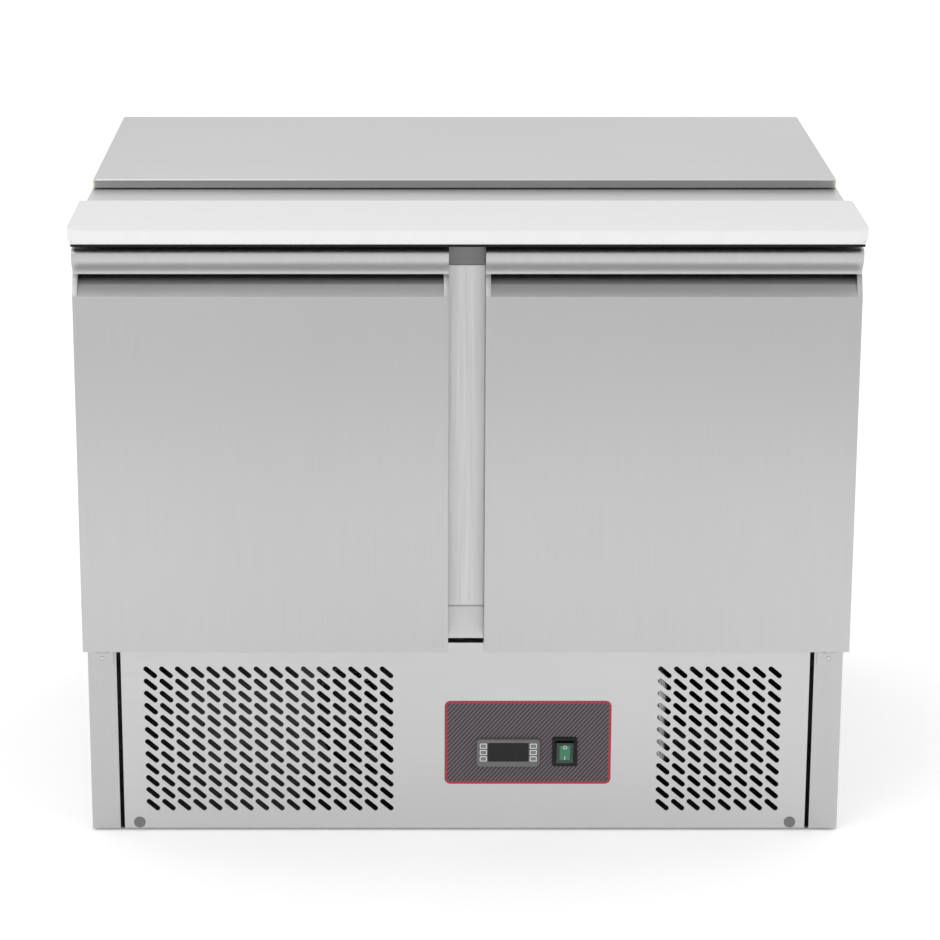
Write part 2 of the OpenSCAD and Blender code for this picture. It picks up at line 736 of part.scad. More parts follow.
module condenser_coil() color([0.2, 0.2, 0.2]) {
    for (s = [-1, 1]) box(cond_x + s * cond_w / 2 - 1, cond_x + s * cond_w / 2 + 1, cond_y, cond_y + cond_d, unit_z, unit_z + cond_h);
    for (i = [1:fin_n]) {
        x = cond_x - cond_w / 2 + i * cond_w / (fin_n + 1);
        box(x - 0.5, x + 0.5, cond_y + 2, cond_y + cond_d - 2, unit_z + 6, unit_z + cond_h - 6);
    }
    for (k = [0:5], y = [cond_y + 12, cond_y + 32])
        translate([cond_x - cond_w / 2 - 8, y, unit_z + 20 + k * (cond_h - 40) / 5]) rotate([0, 90, 0])
            cylinder(r = 4, h = cond_w + 16, $fn = 20);
}

module condenser_shroud() color("silver") {
    difference() {
        box(cond_x - cond_w / 2 - 1, cond_x + cond_w / 2 + 1, shroud_y + 14, cond_y - touch, unit_z, unit_z + cond_h);
        box(cond_x - cond_w / 2 + 1, cond_x + cond_w / 2 - 1, shroud_y + 16, cond_y + 1, unit_z + 2, unit_z + cond_h - 2);
        rod_y(cond_x, cond_z, fan_r + 4, shroud_y + 10, 10);
    }
    difference() {
        rod_y(cond_x, cond_z, fan_r + 7, shroud_y, 14.5);
        rod_y(cond_x, cond_z, fan_r + 4, shroud_y - 1, 18);
    }
    for (a = [0, 180]) translate([cond_x, shroud_y + 26, cond_z]) rotate([0, -a, 0])
        box(24, cond_w / 2 - 4, -2, 2, -4, 4);
    for (s = [-1, 1]) box(cond_x + s * (cond_w / 2 - 2) - 4, cond_x + s * (cond_w / 2 - 2) + 4, shroud_y + 14, shroud_y + 28, cond_z - 4, cond_z + 4);
    rod_y(cond_x, cond_z, 26, shroud_y + 19, 20);
    rod_y(cond_x, cond_z, 2.5, shroud_y - 4, 24);
}

module condenser_fan() color(dark) translate([cond_x, shroud_y + 7, cond_z]) fan(fan_r, 24, 16, 5);

compressor_x = 60;
compressor_y = front_y + 330;
shell_z = unit_z + 22;
shell_h = 150;
pipe_r = 3;
stub_top = shell_z + shell_h + 4;
discharge_stub = [-30, 0];
suction_stub = [20, 20];

module compressor() color(dark) {
    translate([compressor_x, compressor_y, 0]) {
        translate([0, 0, shell_z + 20]) cylinder(r = compressor_r, h = shell_h - 50);
        translate([0, 0, shell_z + 20]) sphere_cap(compressor_r, -1);
        translate([0, 0, shell_z + shell_h - 30]) sphere_cap(compressor_r, 1);
        for (x = [-1, 1], y = [-1, 1]) translate([x * 70, y * 50, unit_z]) cylinder(r = 12, h = 20);
        box(-90, 90, -62, 62, unit_z + 19, unit_z + 22.5);
        box(compressor_r - 8, compressor_r + 28, -26, 26, shell_z + 40, shell_z + 95);
        for (p = [discharge_stub, suction_stub]) translate([p[0], p[1], shell_z + shell_h - 30])
            cylinder(r = pipe_r + 1, h = stub_top - shell_z - shell_h + 30);
    }
}

// A flat dome on a cylinder of radius r, up or down
module sphere_cap(r, s) mirror([0, 0, s < 0 ? 1 : 0]) rotate_extrude()
    polygon(concat([[0, -1], [r, -1]], [for (a = [0:10:80]) [r * cos(a), 24 * sin(a)]], [[0, 24]]));

drier_x = right_block - 4;
drier_y = front_y + 34;

module filter_drier() color([0.8, 0.55, 0.35]) translate([drier_x, drier_y, 0]) {
    translate([0, 0, 78]) cylinder(r = 11, h = 104);
    translate([0, 0, 182]) cylinder(r1 = 11, r2 = 3, h = 12);
    translate([0, 0, 66]) cylinder(r1 = 3, r2 = 11, h = 12);
}

tray_x0 = 190;
tray_y0 = front_y + 150;

module evaporation_tray() color("silver") difference() {
    box(tray_x0, tray_x0 + 200, tray_y0, tray_y0 + 260, unit_z, unit_z + 50);
    box(tray_x0 + 1.5, tray_x0 + 198.5, tray_y0 + 1.5, tray_y0 + 258.5, unit_z + 1.5, unit_z + 51);
}

riser_y = rear_y - 24;
run_z = rail_z - 22;
discharge_z = rail_z - 32;

module refrigerant_pipes() color([0.8, 0.5, 0.3]) {
    out = [compressor_x + discharge_stub[0], compressor_y + discharge_stub[1]];
    back = [compressor_x + suction_stub[0], compressor_y + suction_stub[1]];
    cond_end = cond_x + cond_w / 2 + 8.2;
    high = unit_z + cond_h - 20;
    low = unit_z + 20;
    // Discharge line, compressor to condenser
    pipe([[out[0], out[1], stub_top + touch], [out[0], out[1], discharge_z], [cond_end + 22, cond_y + 70, discharge_z],
          [cond_end + 22, cond_y + 32, discharge_z], [cond_end + 22, cond_y + 32, high], [cond_end, cond_y + 32, high]], pipe_r);
    // Liquid line, condenser to drier
    pipe([[cond_end, cond_y + 12, low], [cond_end + 32, cond_y + 12, low], [drier_x, drier_y, low],
          [drier_x, drier_y, 65.8]], pipe_r);
    // Feed line, drier to the riser under the cabinet's floor
    pipe([[drier_x, drier_y, 194.2], [drier_x, drier_y, run_z], [150, compressor_y + 150, run_z], [40, riser_y, run_z],
          [40, riser_y, rail_z - touch]], pipe_r);
    // Suction line, riser to compressor
    pipe([[-20, riser_y, rail_z - touch], [-20, riser_y, run_z], [back[0], back[1], run_z],
          [back[0], back[1], stub_top + touch]], pipe_r);
}

module cable_gland() color(dark) {
    rod_y(gland_x, gland_z, gland_r, rear_y - 20, 20);
    rod_y(gland_x, gland_z, gland_r + 5, rear_y - sheet - 6, 6);
}

left_side_panel();
right_side_panel();
rear_panel();
base_tray();
floor_panel();
top_rail();
mullion();
wall_foam();
inner_liner();
worktop();
board_pins();
pan_bars();
food_pans();
front_panel();
panel_screws();
control_label();
thermostat_case();
thermostat_window();
switch_bezel();
top_hinge_brackets();
bottom_hinge_brackets();
hinge_screws();
left_shelf();
right_shelf();
shelf_runners();
evaporator_coil();
evaporator_cover();
compressor();
condenser_coil();
condenser_shroud();
filter_drier();
refrigerant_pipes();
evaporation_tray();
cable_gland();
levelling_feet();
lid_hinge_bases();
lid_hinge_pins();
lid_skin();
lid_foam();
lid_liner();
lid_hinge_arms();
left_door_skin();
left_door_foam();
left_door_liner();
left_door_gasket();
right_door_skin();
right_door_foam();
right_door_liner();
right_door_gasket();
cutting_board();
switch_rocker();
key(-1, 1);  // left_key_top
key(-1, 0);  // left_key_middle
key(-1, -1);  // left_key_bottom
key(1, 1);  // right_key_top
key(1, 0);  // right_key_middle
key(1, -1);  // right_key_bottom
condenser_fan();
evaporator_fan();
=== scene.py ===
"""Looks of the sandwich prep table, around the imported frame: materials, pieces, camera, floor and light.

Shapes are drawn in millimetres in the frame's own axes (+Z up, the doors face -Y) and scaled once in piece().
"""

import math

import bmesh
import bpy
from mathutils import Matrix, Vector


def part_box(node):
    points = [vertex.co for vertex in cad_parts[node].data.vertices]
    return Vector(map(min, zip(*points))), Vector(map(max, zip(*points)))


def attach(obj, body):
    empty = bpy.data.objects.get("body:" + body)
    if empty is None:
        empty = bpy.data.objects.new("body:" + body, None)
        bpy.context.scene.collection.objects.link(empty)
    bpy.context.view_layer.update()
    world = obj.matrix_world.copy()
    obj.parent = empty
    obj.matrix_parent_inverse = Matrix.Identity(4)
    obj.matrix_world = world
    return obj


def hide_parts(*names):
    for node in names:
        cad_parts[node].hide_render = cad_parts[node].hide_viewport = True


MM = 0.001

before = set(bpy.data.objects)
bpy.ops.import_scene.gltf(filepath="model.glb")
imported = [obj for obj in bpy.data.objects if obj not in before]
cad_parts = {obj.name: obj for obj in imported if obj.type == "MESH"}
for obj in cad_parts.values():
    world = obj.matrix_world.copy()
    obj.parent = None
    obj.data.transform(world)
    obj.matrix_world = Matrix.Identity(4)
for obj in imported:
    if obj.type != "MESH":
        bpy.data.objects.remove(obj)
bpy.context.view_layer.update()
scene = bpy.context.scene


def extent(node):
    """(x0, x1, y0, y1, z0, z1) of a CAD node, in millimetres."""
    low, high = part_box(node)
    return tuple(v / MM for axis in range(3) for v in (low[axis], high[axis]))


# ---- camera, floor and light ----

CAMERA_AT = (-0.054, -3.826, 1.531)
CAMERA_DOWN = 15.48
FOCAL = 121.2
SHIFT = (0.0532, -0.08)


def add_camera():
    data = bpy.data.cameras.new("camera")
    data.sensor_width = 36
    data.lens = FOCAL
    data.shift_x, data.shift_y = SHIFT
    data.clip_end = 50
    camera = bpy.data.objects.new("camera", data)
    camera.location = CAMERA_AT
    camera.rotation_euler = (math.radians(90 - CAMERA_DOWN), 0, 0)
    scene.collection.objects.link(camera)
    scene.camera = camera


def add_area(name, place, target, size, watts):
    """A rectangular lamp at place, turned to target."""
    data = bpy.data.lights.new(name, "AREA")
    data.shape = "RECTANGLE"
    data.size, data.size_y = size
    data.energy = watts
    light = bpy.data.objects.new(name, data)
    light.location = place
    light.rotation_euler = (Vector(target) - Vector(place)).to_track_quat("-Z", "Y").to_euler()
    scene.collection.objects.link(light)


def add_surroundings():
    """A white studio: a world that is slightly darker below, two soft lamps and a white floor."""
    scene.view_settings.view_transform = "Standard"
    world = bpy.data.worlds.new("studio")
    scene.world = world
    world.use_nodes = True
    tree = world.node_tree
    way = tree.nodes.new("ShaderNodeTexCoord")
    parts = tree.nodes.new("ShaderNodeSeparateXYZ")
    ramp = tree.nodes.new("ShaderNodeValToRGB")
    tree.links.new(way.outputs["Generated"], parts.inputs[0])
    tree.links.new(parts.outputs["Z"], ramp.inputs["Fac"])
    stops = ramp.color_ramp.elements
    stops[0].position, stops[0].color = 0.0, (0.74, 0.74, 0.75, 1)
    stops[1].position, stops[1].color = 0.75, (1, 1, 1, 1)
    tree.links.new(ramp.outputs["Color"], tree.nodes["Background"].inputs["Color"])
    tree.nodes["Background"].inputs["Strength"].default_value = 0.95
    add_area("key", (-1.8, -2.4, 3.0), (0, 0, 0.4), (2.4, 1.6), 22)
    add_area("fill", (2.6, -1.6, 1.6), (0, 0, 0.4), (1.6, 2.0), 6)
    bpy.ops.mesh.primitive_plane_add(size=40)
    floor = bpy.context.object
    floor.name = "floor"
    material = bpy.data.materials.new("floor")
    material.use_nodes = True
    shader = material.node_tree.nodes["Principled BSDF"]
    shader.inputs["Base Color"].default_value = (0.96, 0.96, 0.96, 1)
    shader.inputs["Roughness"].default_value = 0.85
    shader.inputs["Emission Color"].default_value = (1, 1, 1, 1)
    shader.inputs["Emission Strength"].default_value = 0.21
    floor.data.materials.append(material)


# ---- materials ----


class Finish:
    """One procedural material: a Principled shader fed by noise in object space.

    A piece's faces may carry a number called tone, which picks out a second colour.
    """

    def __init__(self, name, roughness, metallic=0.0):
        self.material = bpy.data.materials.new(name)
        self.material.use_nodes = True
        self.tree = self.material.node_tree
        self.shader = self.tree.nodes["Principled BSDF"]
        self.shader.inputs["Metallic"].default_value = metallic
        self.shader.inputs["Roughness"].default_value = roughness
        self.place = self.tree.nodes.new("ShaderNodeTexCoord").outputs["Object"]

    def node(self, kind, **settings):
        made = self.tree.nodes.new(kind)
        for key, value in settings.items():
            setattr(made, key, value)
        return made

    def link(self, source, target):
        self.tree.links.new(source, target)

    def maths(self, operation, first, second=None):
        """first is a socket; second is a socket or a number, if the operation takes it."""
        node = self.node("ShaderNodeMath", operation=operation)
        self.link(first, node.inputs[0])
        if isinstance(second, float):
            node.inputs[1].default_value = second
        elif second is not None:
            self.link(second, node.inputs[1])
        return node.outputs[0]

    def noise(self, scale, detail=2.0):
        """Noise with its own scale per axis, in 1/m."""
        mapping = self.node("ShaderNodeMapping")
        mapping.inputs["Scale"].default_value = scale
        self.link(self.place, mapping.inputs["Vector"])
        noise = self.node("ShaderNodeTexNoise")
        noise.inputs["Scale"].default_value = 1.0
        noise.inputs["Detail"].default_value = detail
        self.link(mapping.outputs[0], noise.inputs["Vector"])
        return noise.outputs["Fac"]

    def between(self, fac, low, high):
        """Stretches the middle of a noise value, 0.3 to 0.7, to low..high."""
        spread = self.node("ShaderNodeMapRange")
        spread.inputs["From Min"].default_value = 0.3
        spread.inputs["From Max"].default_value = 0.7
        spread.inputs["To Min"].default_value = low
        spread.inputs["To Max"].default_value = high
        self.link(fac, spread.inputs["Value"])
        return spread.outputs[0]

    def mix(self, fac, first, second):
        """Colour between first and second, each a colour or a socket."""
        mix = self.node("ShaderNodeMix", data_type="RGBA")
        self.link(fac, mix.inputs[0])
        for value, socket in ((first, mix.inputs[6]), (second, mix.inputs[7])):
            if isinstance(value, tuple):
                socket.default_value = value + (1,)
            else:
                self.link(value, socket)
        return mix.outputs[2]

    def tone(self):
        """The number on each face, 0 where there is none."""
        return self.node("ShaderNodeAttribute", attribute_name="tone").outputs["Fac"]

    def colour(self, socket):
        self.link(socket, self.shader.inputs["Base Color"])

    def rough(self, fac, low, high):
        self.link(self.between(fac, low, high), self.shader.inputs["Roughness"])

    def bump(self, fac, strength, distance):
        bump = self.node("ShaderNodeBump")
        bump.inputs["Strength"].default_value = strength
        bump.inputs["Distance"].default_value = distance
        self.link(fac, bump.inputs["Height"])
        self.link(bump.outputs[0], self.shader.inputs["Normal"])

    def set(self, **values):
        """Sets constant inputs of the shader, with _ for the spaces in their names."""
        for key, value in values.items():
            self.shader.inputs[key.replace("_", " ")].default_value = value
        return self


def grey(value):
    """A neutral grey, very slightly cool."""
    return (value, value, value * 1.004)


def steel_finish(name, grain, level=0.52, spread=0.03, rough=(0.3, 0.42), relief=0.06, dark=0.3):
    """Brushed stainless sheet. grain is the noise scale per axis, smallest along the brushing.

    level is the brightness, give or take spread, and dark the brightness at tone 1, where faces carry painted
    shade.
    """
    finish = Finish(name, 0.36, 1.0)
    clouds = finish.noise((2.2, 2.2, 2.2), 1.0)
    shade = finish.mix(clouds, grey(level - spread), grey(level + spread))
    finish.colour(finish.mix(finish.tone(), shade, grey(dark)))
    lines = finish.noise(grain, 3.0)
    finish.rough(lines, *rough)
    finish.bump(lines, relief, 0.0003)
    return finish, shade


def steel(name, grain, **values):
    return steel_finish(name, grain, **values)[0].material


# Limits of the painted shade on the worktop, in metres
FOLD_INSIDE_Y = -0.3368
LEDGE_REAR_Y = -0.18
SIDE_INSIDE_X = 0.4488
PAINTED_SHADE_Z = 0.7412
LEDGE_RISE = 0.0022


def deck_steel():
    """The worktop: brushed on top, with painted shade (near-black) under the board's ledge and inside its
    front fold, where the board's shadow falls.

    The limits above are in metres. Behind the fold the painted shade reaches LEDGE_RISE higher than at its
    front.
    """
    # level 0.76, above the other steel, is partly painted light on the lit top of the worktop
    finish, shade = steel_finish("steel_deck", (7, 520, 520), level=0.76)
    parts = finish.node("ShaderNodeSeparateXYZ")
    finish.link(finish.place, parts.inputs[0])
    behind_fold = finish.maths("GREATER_THAN", parts.outputs["Y"], FOLD_INSIDE_Y)
    height = finish.maths("ADD", parts.outputs["Z"], finish.maths("MULTIPLY", behind_fold, -LEDGE_RISE))
    between_sides = finish.maths("LESS_THAN", finish.maths("ABSOLUTE", parts.outputs["X"]), SIDE_INSIDE_X)
    under_ledge = finish.maths("LESS_THAN", parts.outputs["Y"], LEDGE_REAR_Y)
    # Painted shade: a near-black colour under the ledge and inside the fold, standing in for the board's
    # shadow
    painted_shade = finish.maths("LESS_THAN", height, PAINTED_SHADE_Z)
    for limit in (between_sides, under_ledge):
        painted_shade = finish.maths("MULTIPLY", painted_shade, limit)
    finish.colour(finish.mix(painted_shade, shade, grey(0.02)))
    return finish.material


def plain(name, low, high, scale, rough, bump=(0.1, 0.0002), metallic=0.0, accent=None):
    """A finish that wanders between two colours, with fine noise in its roughness and bump."""
    finish = Finish(name, rough, metallic)
    patches = finish.noise((scale / 12,) * 3, 2.0)
    shade = finish.mix(patches, low, high)
    finish.colour(finish.mix(finish.tone(), shade, accent) if accent else shade)
    grain = finish.noise((scale,) * 3, 2.0)
    finish.rough(grain, rough - 0.05, rough + 0.06)
    finish.bump(grain, *bump)
    return finish


STRIPE_SLOPE = 1.15
STRIPE_PITCH = 0.0058


def label_film():
    """Dark film with fine stripes that rise to the right; the border band has tone 1."""
    finish = Finish("label_film", 0.42)
    parts = finish.node("ShaderNodeSeparateXYZ")
    finish.link(finish.place, parts.inputs[0])
    lean = finish.maths("MULTIPLY", parts.outputs["X"], STRIPE_SLOPE)
    across = finish.maths("SUBTRACT", parts.outputs["Z"], lean)
    wave = finish.maths("SINE", finish.maths("MULTIPLY", across, 2 * math.pi / STRIPE_PITCH))
    stripe = finish.node("ShaderNodeMapRange")
    stripe.inputs["From Min"].default_value = -0.4
    stripe.inputs["From Max"].default_value = 0.4
    finish.link(wave, stripe.inputs["Value"])
    base = finish.mix(stripe.outputs[0], (0.018, 0.014, 0.018), (0.125, 0.098, 0.115))
    finish.colour(finish.mix(finish.tone(), base, (0.33, 0.022, 0.04)))
    grain = finish.noise((900,) * 3, 2.0)
    finish.rough(grain, 0.36, 0.48)
    return finish.material


def galvanised(name, low, high):
    """Zinc spangle: flat cells of slightly different brightness."""
    finish = Finish(name, 0.45, 1.0)
    cells = finish.node("ShaderNodeTexVoronoi")
    cells.inputs["Scale"].default_value = 90
    finish.link(finish.place, cells.inputs["Vector"])
    grey_cells = finish.node("ShaderNodeRGBToBW")
    finish.link(cells.outputs["Color"], grey_cells.inputs[0])
    finish.colour(finish.mix(grey_cells.outputs[0], grey(low), grey(high)))
    finish.rough(grey_cells.outputs[0], 0.34, 0.5)
    return finish.material


def foil():
    """Crinkled metal foil, wrapped round the drier."""
    finish = Finish("foil_wrap", 0.3, 1.0)
    creases = finish.noise((70, 70, 45), 4.0)
    finish.colour(finish.mix(creases, grey(0.55), grey(0.8)))
    finish.rough(creases, 0.22, 0.4)
    finish.bump(creases, 0.6, 0.003)
    return finish.material


def green_rocker():
    """Translucent green: dark rim at tone 0, lighter lens at 0.5, white marks at 1."""
    finish = Finish("green_rocker", 0.2)
    ramp = finish.node("ShaderNodeValToRGB")
    stops = ramp.color_ramp.elements
    stops[0].position, stops[0].color = 0.1, (0.004, 0.03, 0.018, 1)
    stops[1].position, stops[1].color = 0.95, (0.78, 0.85, 0.8, 1)
    lens = stops.new(0.5)
    lens.color = (0.03, 0.17, 0.08, 1)
    finish.link(finish.tone(), ramp.inputs["Fac"])
    finish.colour(ramp.outputs["Color"])
    cloudy = finish.noise((240,) * 3, 2.0)
    finish.rough(cloudy, 0.16, 0.26)
    return finish.set(Coat_Weight=0.3).material


def dull(name, low, high, scale, rough, *values, **settings):
    """A dark finish between two greys, with little glare."""
    finish = plain(name, grey(low), grey(high), scale, rough, *values, **settings)
    return finish.set(Specular_IOR_Level=0.2).material


MATERIALS = {
    # On the doors, dark=0.04 is the colour of the painted shade in the finger recess
    "door": steel("steel_doors", (420, 420, 9), level=0.53, rough=(0.4, 0.5), dark=0.04),
    "stainless": steel("steel_along_x", (7, 520, 520), level=0.5),
    "deck": deck_steel(),
    "post": steel("steel_post", (520, 520, 7), level=0.6),
    "side": steel("steel_upright", (520, 520, 7), level=0.5),
    # level 0.70, above the other steel, is partly painted light on the lit top of the lid
    "lid": steel("steel_lid", (6, 480, 480), level=0.70),
    "panel": steel("steel_front_panel", (9, 420, 420), level=0.56),
    "shade": steel("steel_shaded_rail", (7, 420, 420), level=0.2),
    "bright": steel("steel_pressed", (90, 90, 90), level=0.56, rough=(0.24, 0.32), relief=0.01),
    "pan": steel("steel_pan", (400, 400, 400), level=0.62, rough=(0.27, 0.31), relief=0.004),
    "foil": foil(),
    # Painted shade: the top hinge brackets sit in the shadow gap over the doors, so their steel is darkened
    # to 0.2
    "bracket": steel("steel_bracket", (200, 200, 200), level=0.2, rough=(0.35, 0.5), relief=0.02),
    "foam": plain("foam", (0.78, 0.66, 0.38), (0.86, 0.75, 0.46), 260, 0.8, (0.5, 0.001)).material,
    "gasket_rubber": plain("gasket_rubber", grey(0.30), grey(0.36), 500, 0.55).material,
    "coated_wire": plain("coated_wire", grey(0.62), grey(0.70), 420, 0.3).set(Coat_Weight=0.3).material,
    "galvanised": galvanised("galvanised", 0.46, 0.56),
    # Painted shade: a darkened copy of the galvanised finish, for the parts seen in shadow behind the front
    # grille
    "unit": galvanised("galvanised_unit_painted_shade", 0.05, 0.12),
    "white_plastic": plain("white_plastic", grey(0.78), grey(0.84), 700, 0.32).material,
    "black_paint": dull("black_paint", 0.010, 0.018, 320, 0.35, (0.2, 0.0004)),
    "copper": plain("copper", (0.62, 0.27, 0.15), (0.78, 0.42, 0.26), 150, 0.28, metallic=1.0).material,
    "black_plastic": dull("black_plastic", 0.006, 0.012, 900, 0.45, (0.2, 0.0002)),
    "grey_cap": plain("grey_cap", grey(0.14), grey(0.17), 800, 0.45).material,
    "grey_plastic": dull("grey_plastic", 0.13, 0.16, 900, 0.42),
    "label_film": label_film(),
    "dark_window": dull("dark_window", 0.012, 0.018, 300, 0.22, (0.02, 0.0001)),
    "white_board": plain("white_board", (0.76, 0.76, 0.76), (0.80, 0.80, 0.795), 520, 0.5,
                         (0.25, 0.0003)).material,
    "green_rocker": green_rocker(),
    "key_plastic": dull("key_plastic", 0.17, 0.21, 900, 0.42, accent=grey(0.72)),
}


# ---- shapes, in millimetres ----


def outline(x0, x1, y0, y1, radii, steps=6):
    """A rounded rectangle, anticlockwise.

    radii is one number, or four for the corners (x1, y0), (x1, y1), (x0, y1), (x0, y0).
    """
    if not isinstance(radii, (tuple, list)):
        radii = (radii,) * 4
    corners = ((x1, y0, 1, -1, -90), (x1, y1, 1, 1, 0), (x0, y1, -1, 1, 90), (x0, y0, -1, -1, 180))
    points = []
    for (x, y, sx, sy, start), r in zip(corners, radii):
        r = max(r, 0.05)
        for i in range(steps + 1):
            a = math.radians(start + 90 * i / steps)
            points.append((x - sx * r + r * math.cos(a), y - sy * r + r * math.sin(a)))
    return points


def inset(x0, x1, y0, y1, radii, d, steps=6):
    """The same outline, d further in on every side."""
    radii = radii if isinstance(radii, (tuple, list)) else (radii,) * 4
    return outline(x0 + d, x1 - d, y0 + d, y1 - d, [max(r - d, 0.05) for r in radii], steps)


def circle(cx, cy, r, steps=48):
    turns = [2 * math.pi * i / steps for i in range(steps)]
    return [(cx + r * math.cos(a), cy + r * math.sin(a)) for a in turns]


def rounding(r, angles=range(0, 91, 15)):
    """(inset, drop) at steps round an edge of radius r, from its side to its top."""
    turns = [math.radians(a) for a in angles]
    return [(r * (1 - math.cos(a)), r * (1 - math.sin(a))) for a in turns]


def upright(a, b, h):
    """Places a flat shape in X and Y, raised by h."""
    return (a, b, h)


def facing(y):
    """Places a flat shape in X and Z, raised towards the front by h from depth y."""
    return lambda a, b, h: (a, y - h, b)


def along(axis, centre):
    """Places a turned shape about an axis through centre, h along it."""
    cx, cy, cz = centre
    if axis == "X":
        return lambda a, b, h: (cx + h, cy + a, cz + b)
    if axis == "Y":
        return lambda a, b, h: (cx + a, cy + h, cz + b)
    return lambda a, b, h: (cx + a, cy + b, cz + h)


def loft(bm, rings, place=upright, ends=(True, True), closed=False, accent=()):
    """Skins equal-count outlines [(points, height), ...]. accent lists the bands that get tone 1."""
    tone = bm.faces.layers.float.get("tone") or bm.faces.layers.float.new("tone")
    rows = [[bm.verts.new(place(a, b, h)) for a, b in points] for points, h in rings]
    bands = list(zip(rows, rows[1:])) + ([(rows[-1], rows[0])] if closed else [])
    for k, (low, high) in enumerate(bands):
        for i in range(len(low)):
            j = (i + 1) % len(low)
            face = bm.faces.new((low[i], low[j], high[j], high[i]))
            face[tone] = 1.0 if k in accent else 0.0
    if not closed:
        for wanted, row in zip(ends, (rows[0], rows[-1])):
            if wanted:
                bm.faces.new(row)
    return bm


def turned(bm, profile, place, steps=48, ends=(True, True), closed=False):
    """A turned shape: profile is [(radius, height), ...]."""
    return loft(bm, [(circle(0, 0, r, steps), h) for r, h in profile], place, ends, closed)


def block(bm, x0, x1, y0, y1, z0, z1, r=0.6):
    """A block with rounded upright edges and eased top and bottom edges."""
    e = min(r, 0.8)
    rings = [(inset(x0, x1, y0, y1, r, e, 3), z0), (outline(x0, x1, y0, y1, r, 3), z0 + e),
             (outline(x0, x1, y0, y1, r, 3), z1 - e), (inset(x0, x1, y0, y1, r, e, 3), z1)]
    return loft(bm, rings)


def rounded_path(points, radius, steps=8, closed=False):
    """The polyline with each bend replaced by an arc."""
    points = [Vector(p) for p in points]
    n = len(points)
    path = [] if closed else [points[0]]
    for i in range(0 if closed else 1, n if closed else n - 1):
        before, here, after = points[i - 1], points[i], points[(i + 1) % n]
        a, b = (before - here).normalized(), (after - here).normalized()
        turn = math.pi - a.angle(b)
        if turn < 0.02:
            path.append(here)
            continue
        reach = min(radius * math.tan(turn / 2), 0.48 * (before - here).length, 0.48 * (after - here).length)
        r = reach / math.tan(turn / 2)
        centre = here + (a + b).normalized() * (r / math.cos(turn / 2))
        start, end = here + a * reach - centre, here + b * reach - centre
        for k in range(steps + 1):
            path.append(centre + start.slerp(end, k / steps) if start.angle(end) > 1e-4 else here)
    if not closed:
        path.append(points[-1])
    return path


def tube(bm, path, r, sides=12, closed=False):
    """A round bar along a path; its section is carried along without twist."""
    n = len(path)
    ways = []
    for i in range(n):
        if closed:
            way = path[(i + 1) % n] - path[i - 1]
        else:
            way = path[min(i + 1, n - 1)] - path[max(i - 1, 0)]
        ways.append(way.normalized())
    side = ways[0].orthogonal().normalized()
    rings = []
    for i in range(n):
        side = (side - ways[i] * side.dot(ways[i])).normalized()
        other = ways[i].cross(side)
        rings.append([bm.verts.new(path[i] + side * r * math.cos(t) + other * r * math.sin(t))
                      for t in (2 * math.pi * k / sides for k in range(sides))])
    for a, b in list(zip(rings, rings[1:])) + ([(rings[-1], rings[0])] if closed else []):
        for k in range(sides):
            bm.faces.new((a[k], a[(k + 1) % sides], b[(k + 1) % sides], b[k]))
    if not closed:
        bm.faces.new(rings[0])
        bm.faces.new(rings[-1])
    return bm


def moulding(bm, x0, x1, z0, z1, section):
    """A mitred frame: section is a closed line [(inward distance, y), ...] swept round the rectangle."""
    rings = [[(x0 + a, y, z0 + a), (x1 - a, y, z0 + a), (x1 - a, y, z1 - a), (x0 + a, y, z1 - a)]
             for a, y in section]
    rows = [[bm.verts.new(p) for p in ring] for ring in rings]
    for low, high in zip(rows, rows[1:] + rows[:1]):
        for i in range(4):
            j = (i + 1) % 4
            bm.faces.new((low[i], low[j], high[j], high[i]))
    return bm


def solid(bm):
    """A bmesh becomes a throwaway object in metres, for a piece or a cutter."""
    for v in bm.verts:
        v.co *= MM
    bmesh.ops.recalc_face_normals(bm, faces=bm.faces)
    mesh = bpy.data.meshes.new("draft")
    bm.to_mesh(mesh)
    bm.free()
    made = bpy.data.objects.new("draft", mesh)
    scene.collection.objects.link(made)
    return made


def apply_modifiers(ob):
    """The mesh becomes what its modifiers show."""
    shown = ob.evaluated_get(bpy.context.evaluated_depsgraph_get())
    mesh = bpy.data.meshes.new_from_object(shown)
    ob.modifiers.clear()
    ob.data = mesh


def piece(name, bm, body, slot, replaces=(), look=None, bevel=0.0, thick=0.0, cutter=None, crease=35):
    """Finishes one piece: edges eased, sheet thickened inwards, holes cut, then its material and frame data.

    look is a material's name where it differs from the slot's.
    """
    ob = solid(bm)
    ob.name = ob.data.name = name
    if bevel:
        ease = ob.modifiers.new("ease", "BEVEL")
        ease.width, ease.segments, ease.limit_method = bevel * MM, 3, "ANGLE"
        ease.angle_limit = math.radians(crease)
    if thick:
        shell = ob.modifiers.new("shell", "SOLIDIFY")
        shell.thickness, shell.offset = thick * MM, -1
        shell.use_even_offset = True
    if cutter:
        tool = solid(cutter)
        cut = ob.modifiers.new("cut", "BOOLEAN")
        cut.object, cut.operation, cut.solver = tool, "DIFFERENCE", "EXACT"
    bpy.context.view_layer.update()
    apply_modifiers(ob)
    if cutter:
        bpy.data.objects.remove(tool)
    ob.data.name = name
    ob.data.polygons.foreach_set("use_smooth", [True] * len(ob.data.polygons))
    ob.data.set_sharp_from_angle(angle=math.radians(crease))
    ob.data.materials.clear()
    ob.data.materials.append(MATERIALS[look or slot])
    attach(ob, body)
    if replaces:
        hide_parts(*replaces)
    return ob


# ---- doors ----

DOOR_X0, DOOR_X1, DOOR_Y, DOOR_REAR, DOOR_Z, DOOR_TOP = extent("left_door_skin")
SHELL_D = DOOR_REAR - DOOR_Y
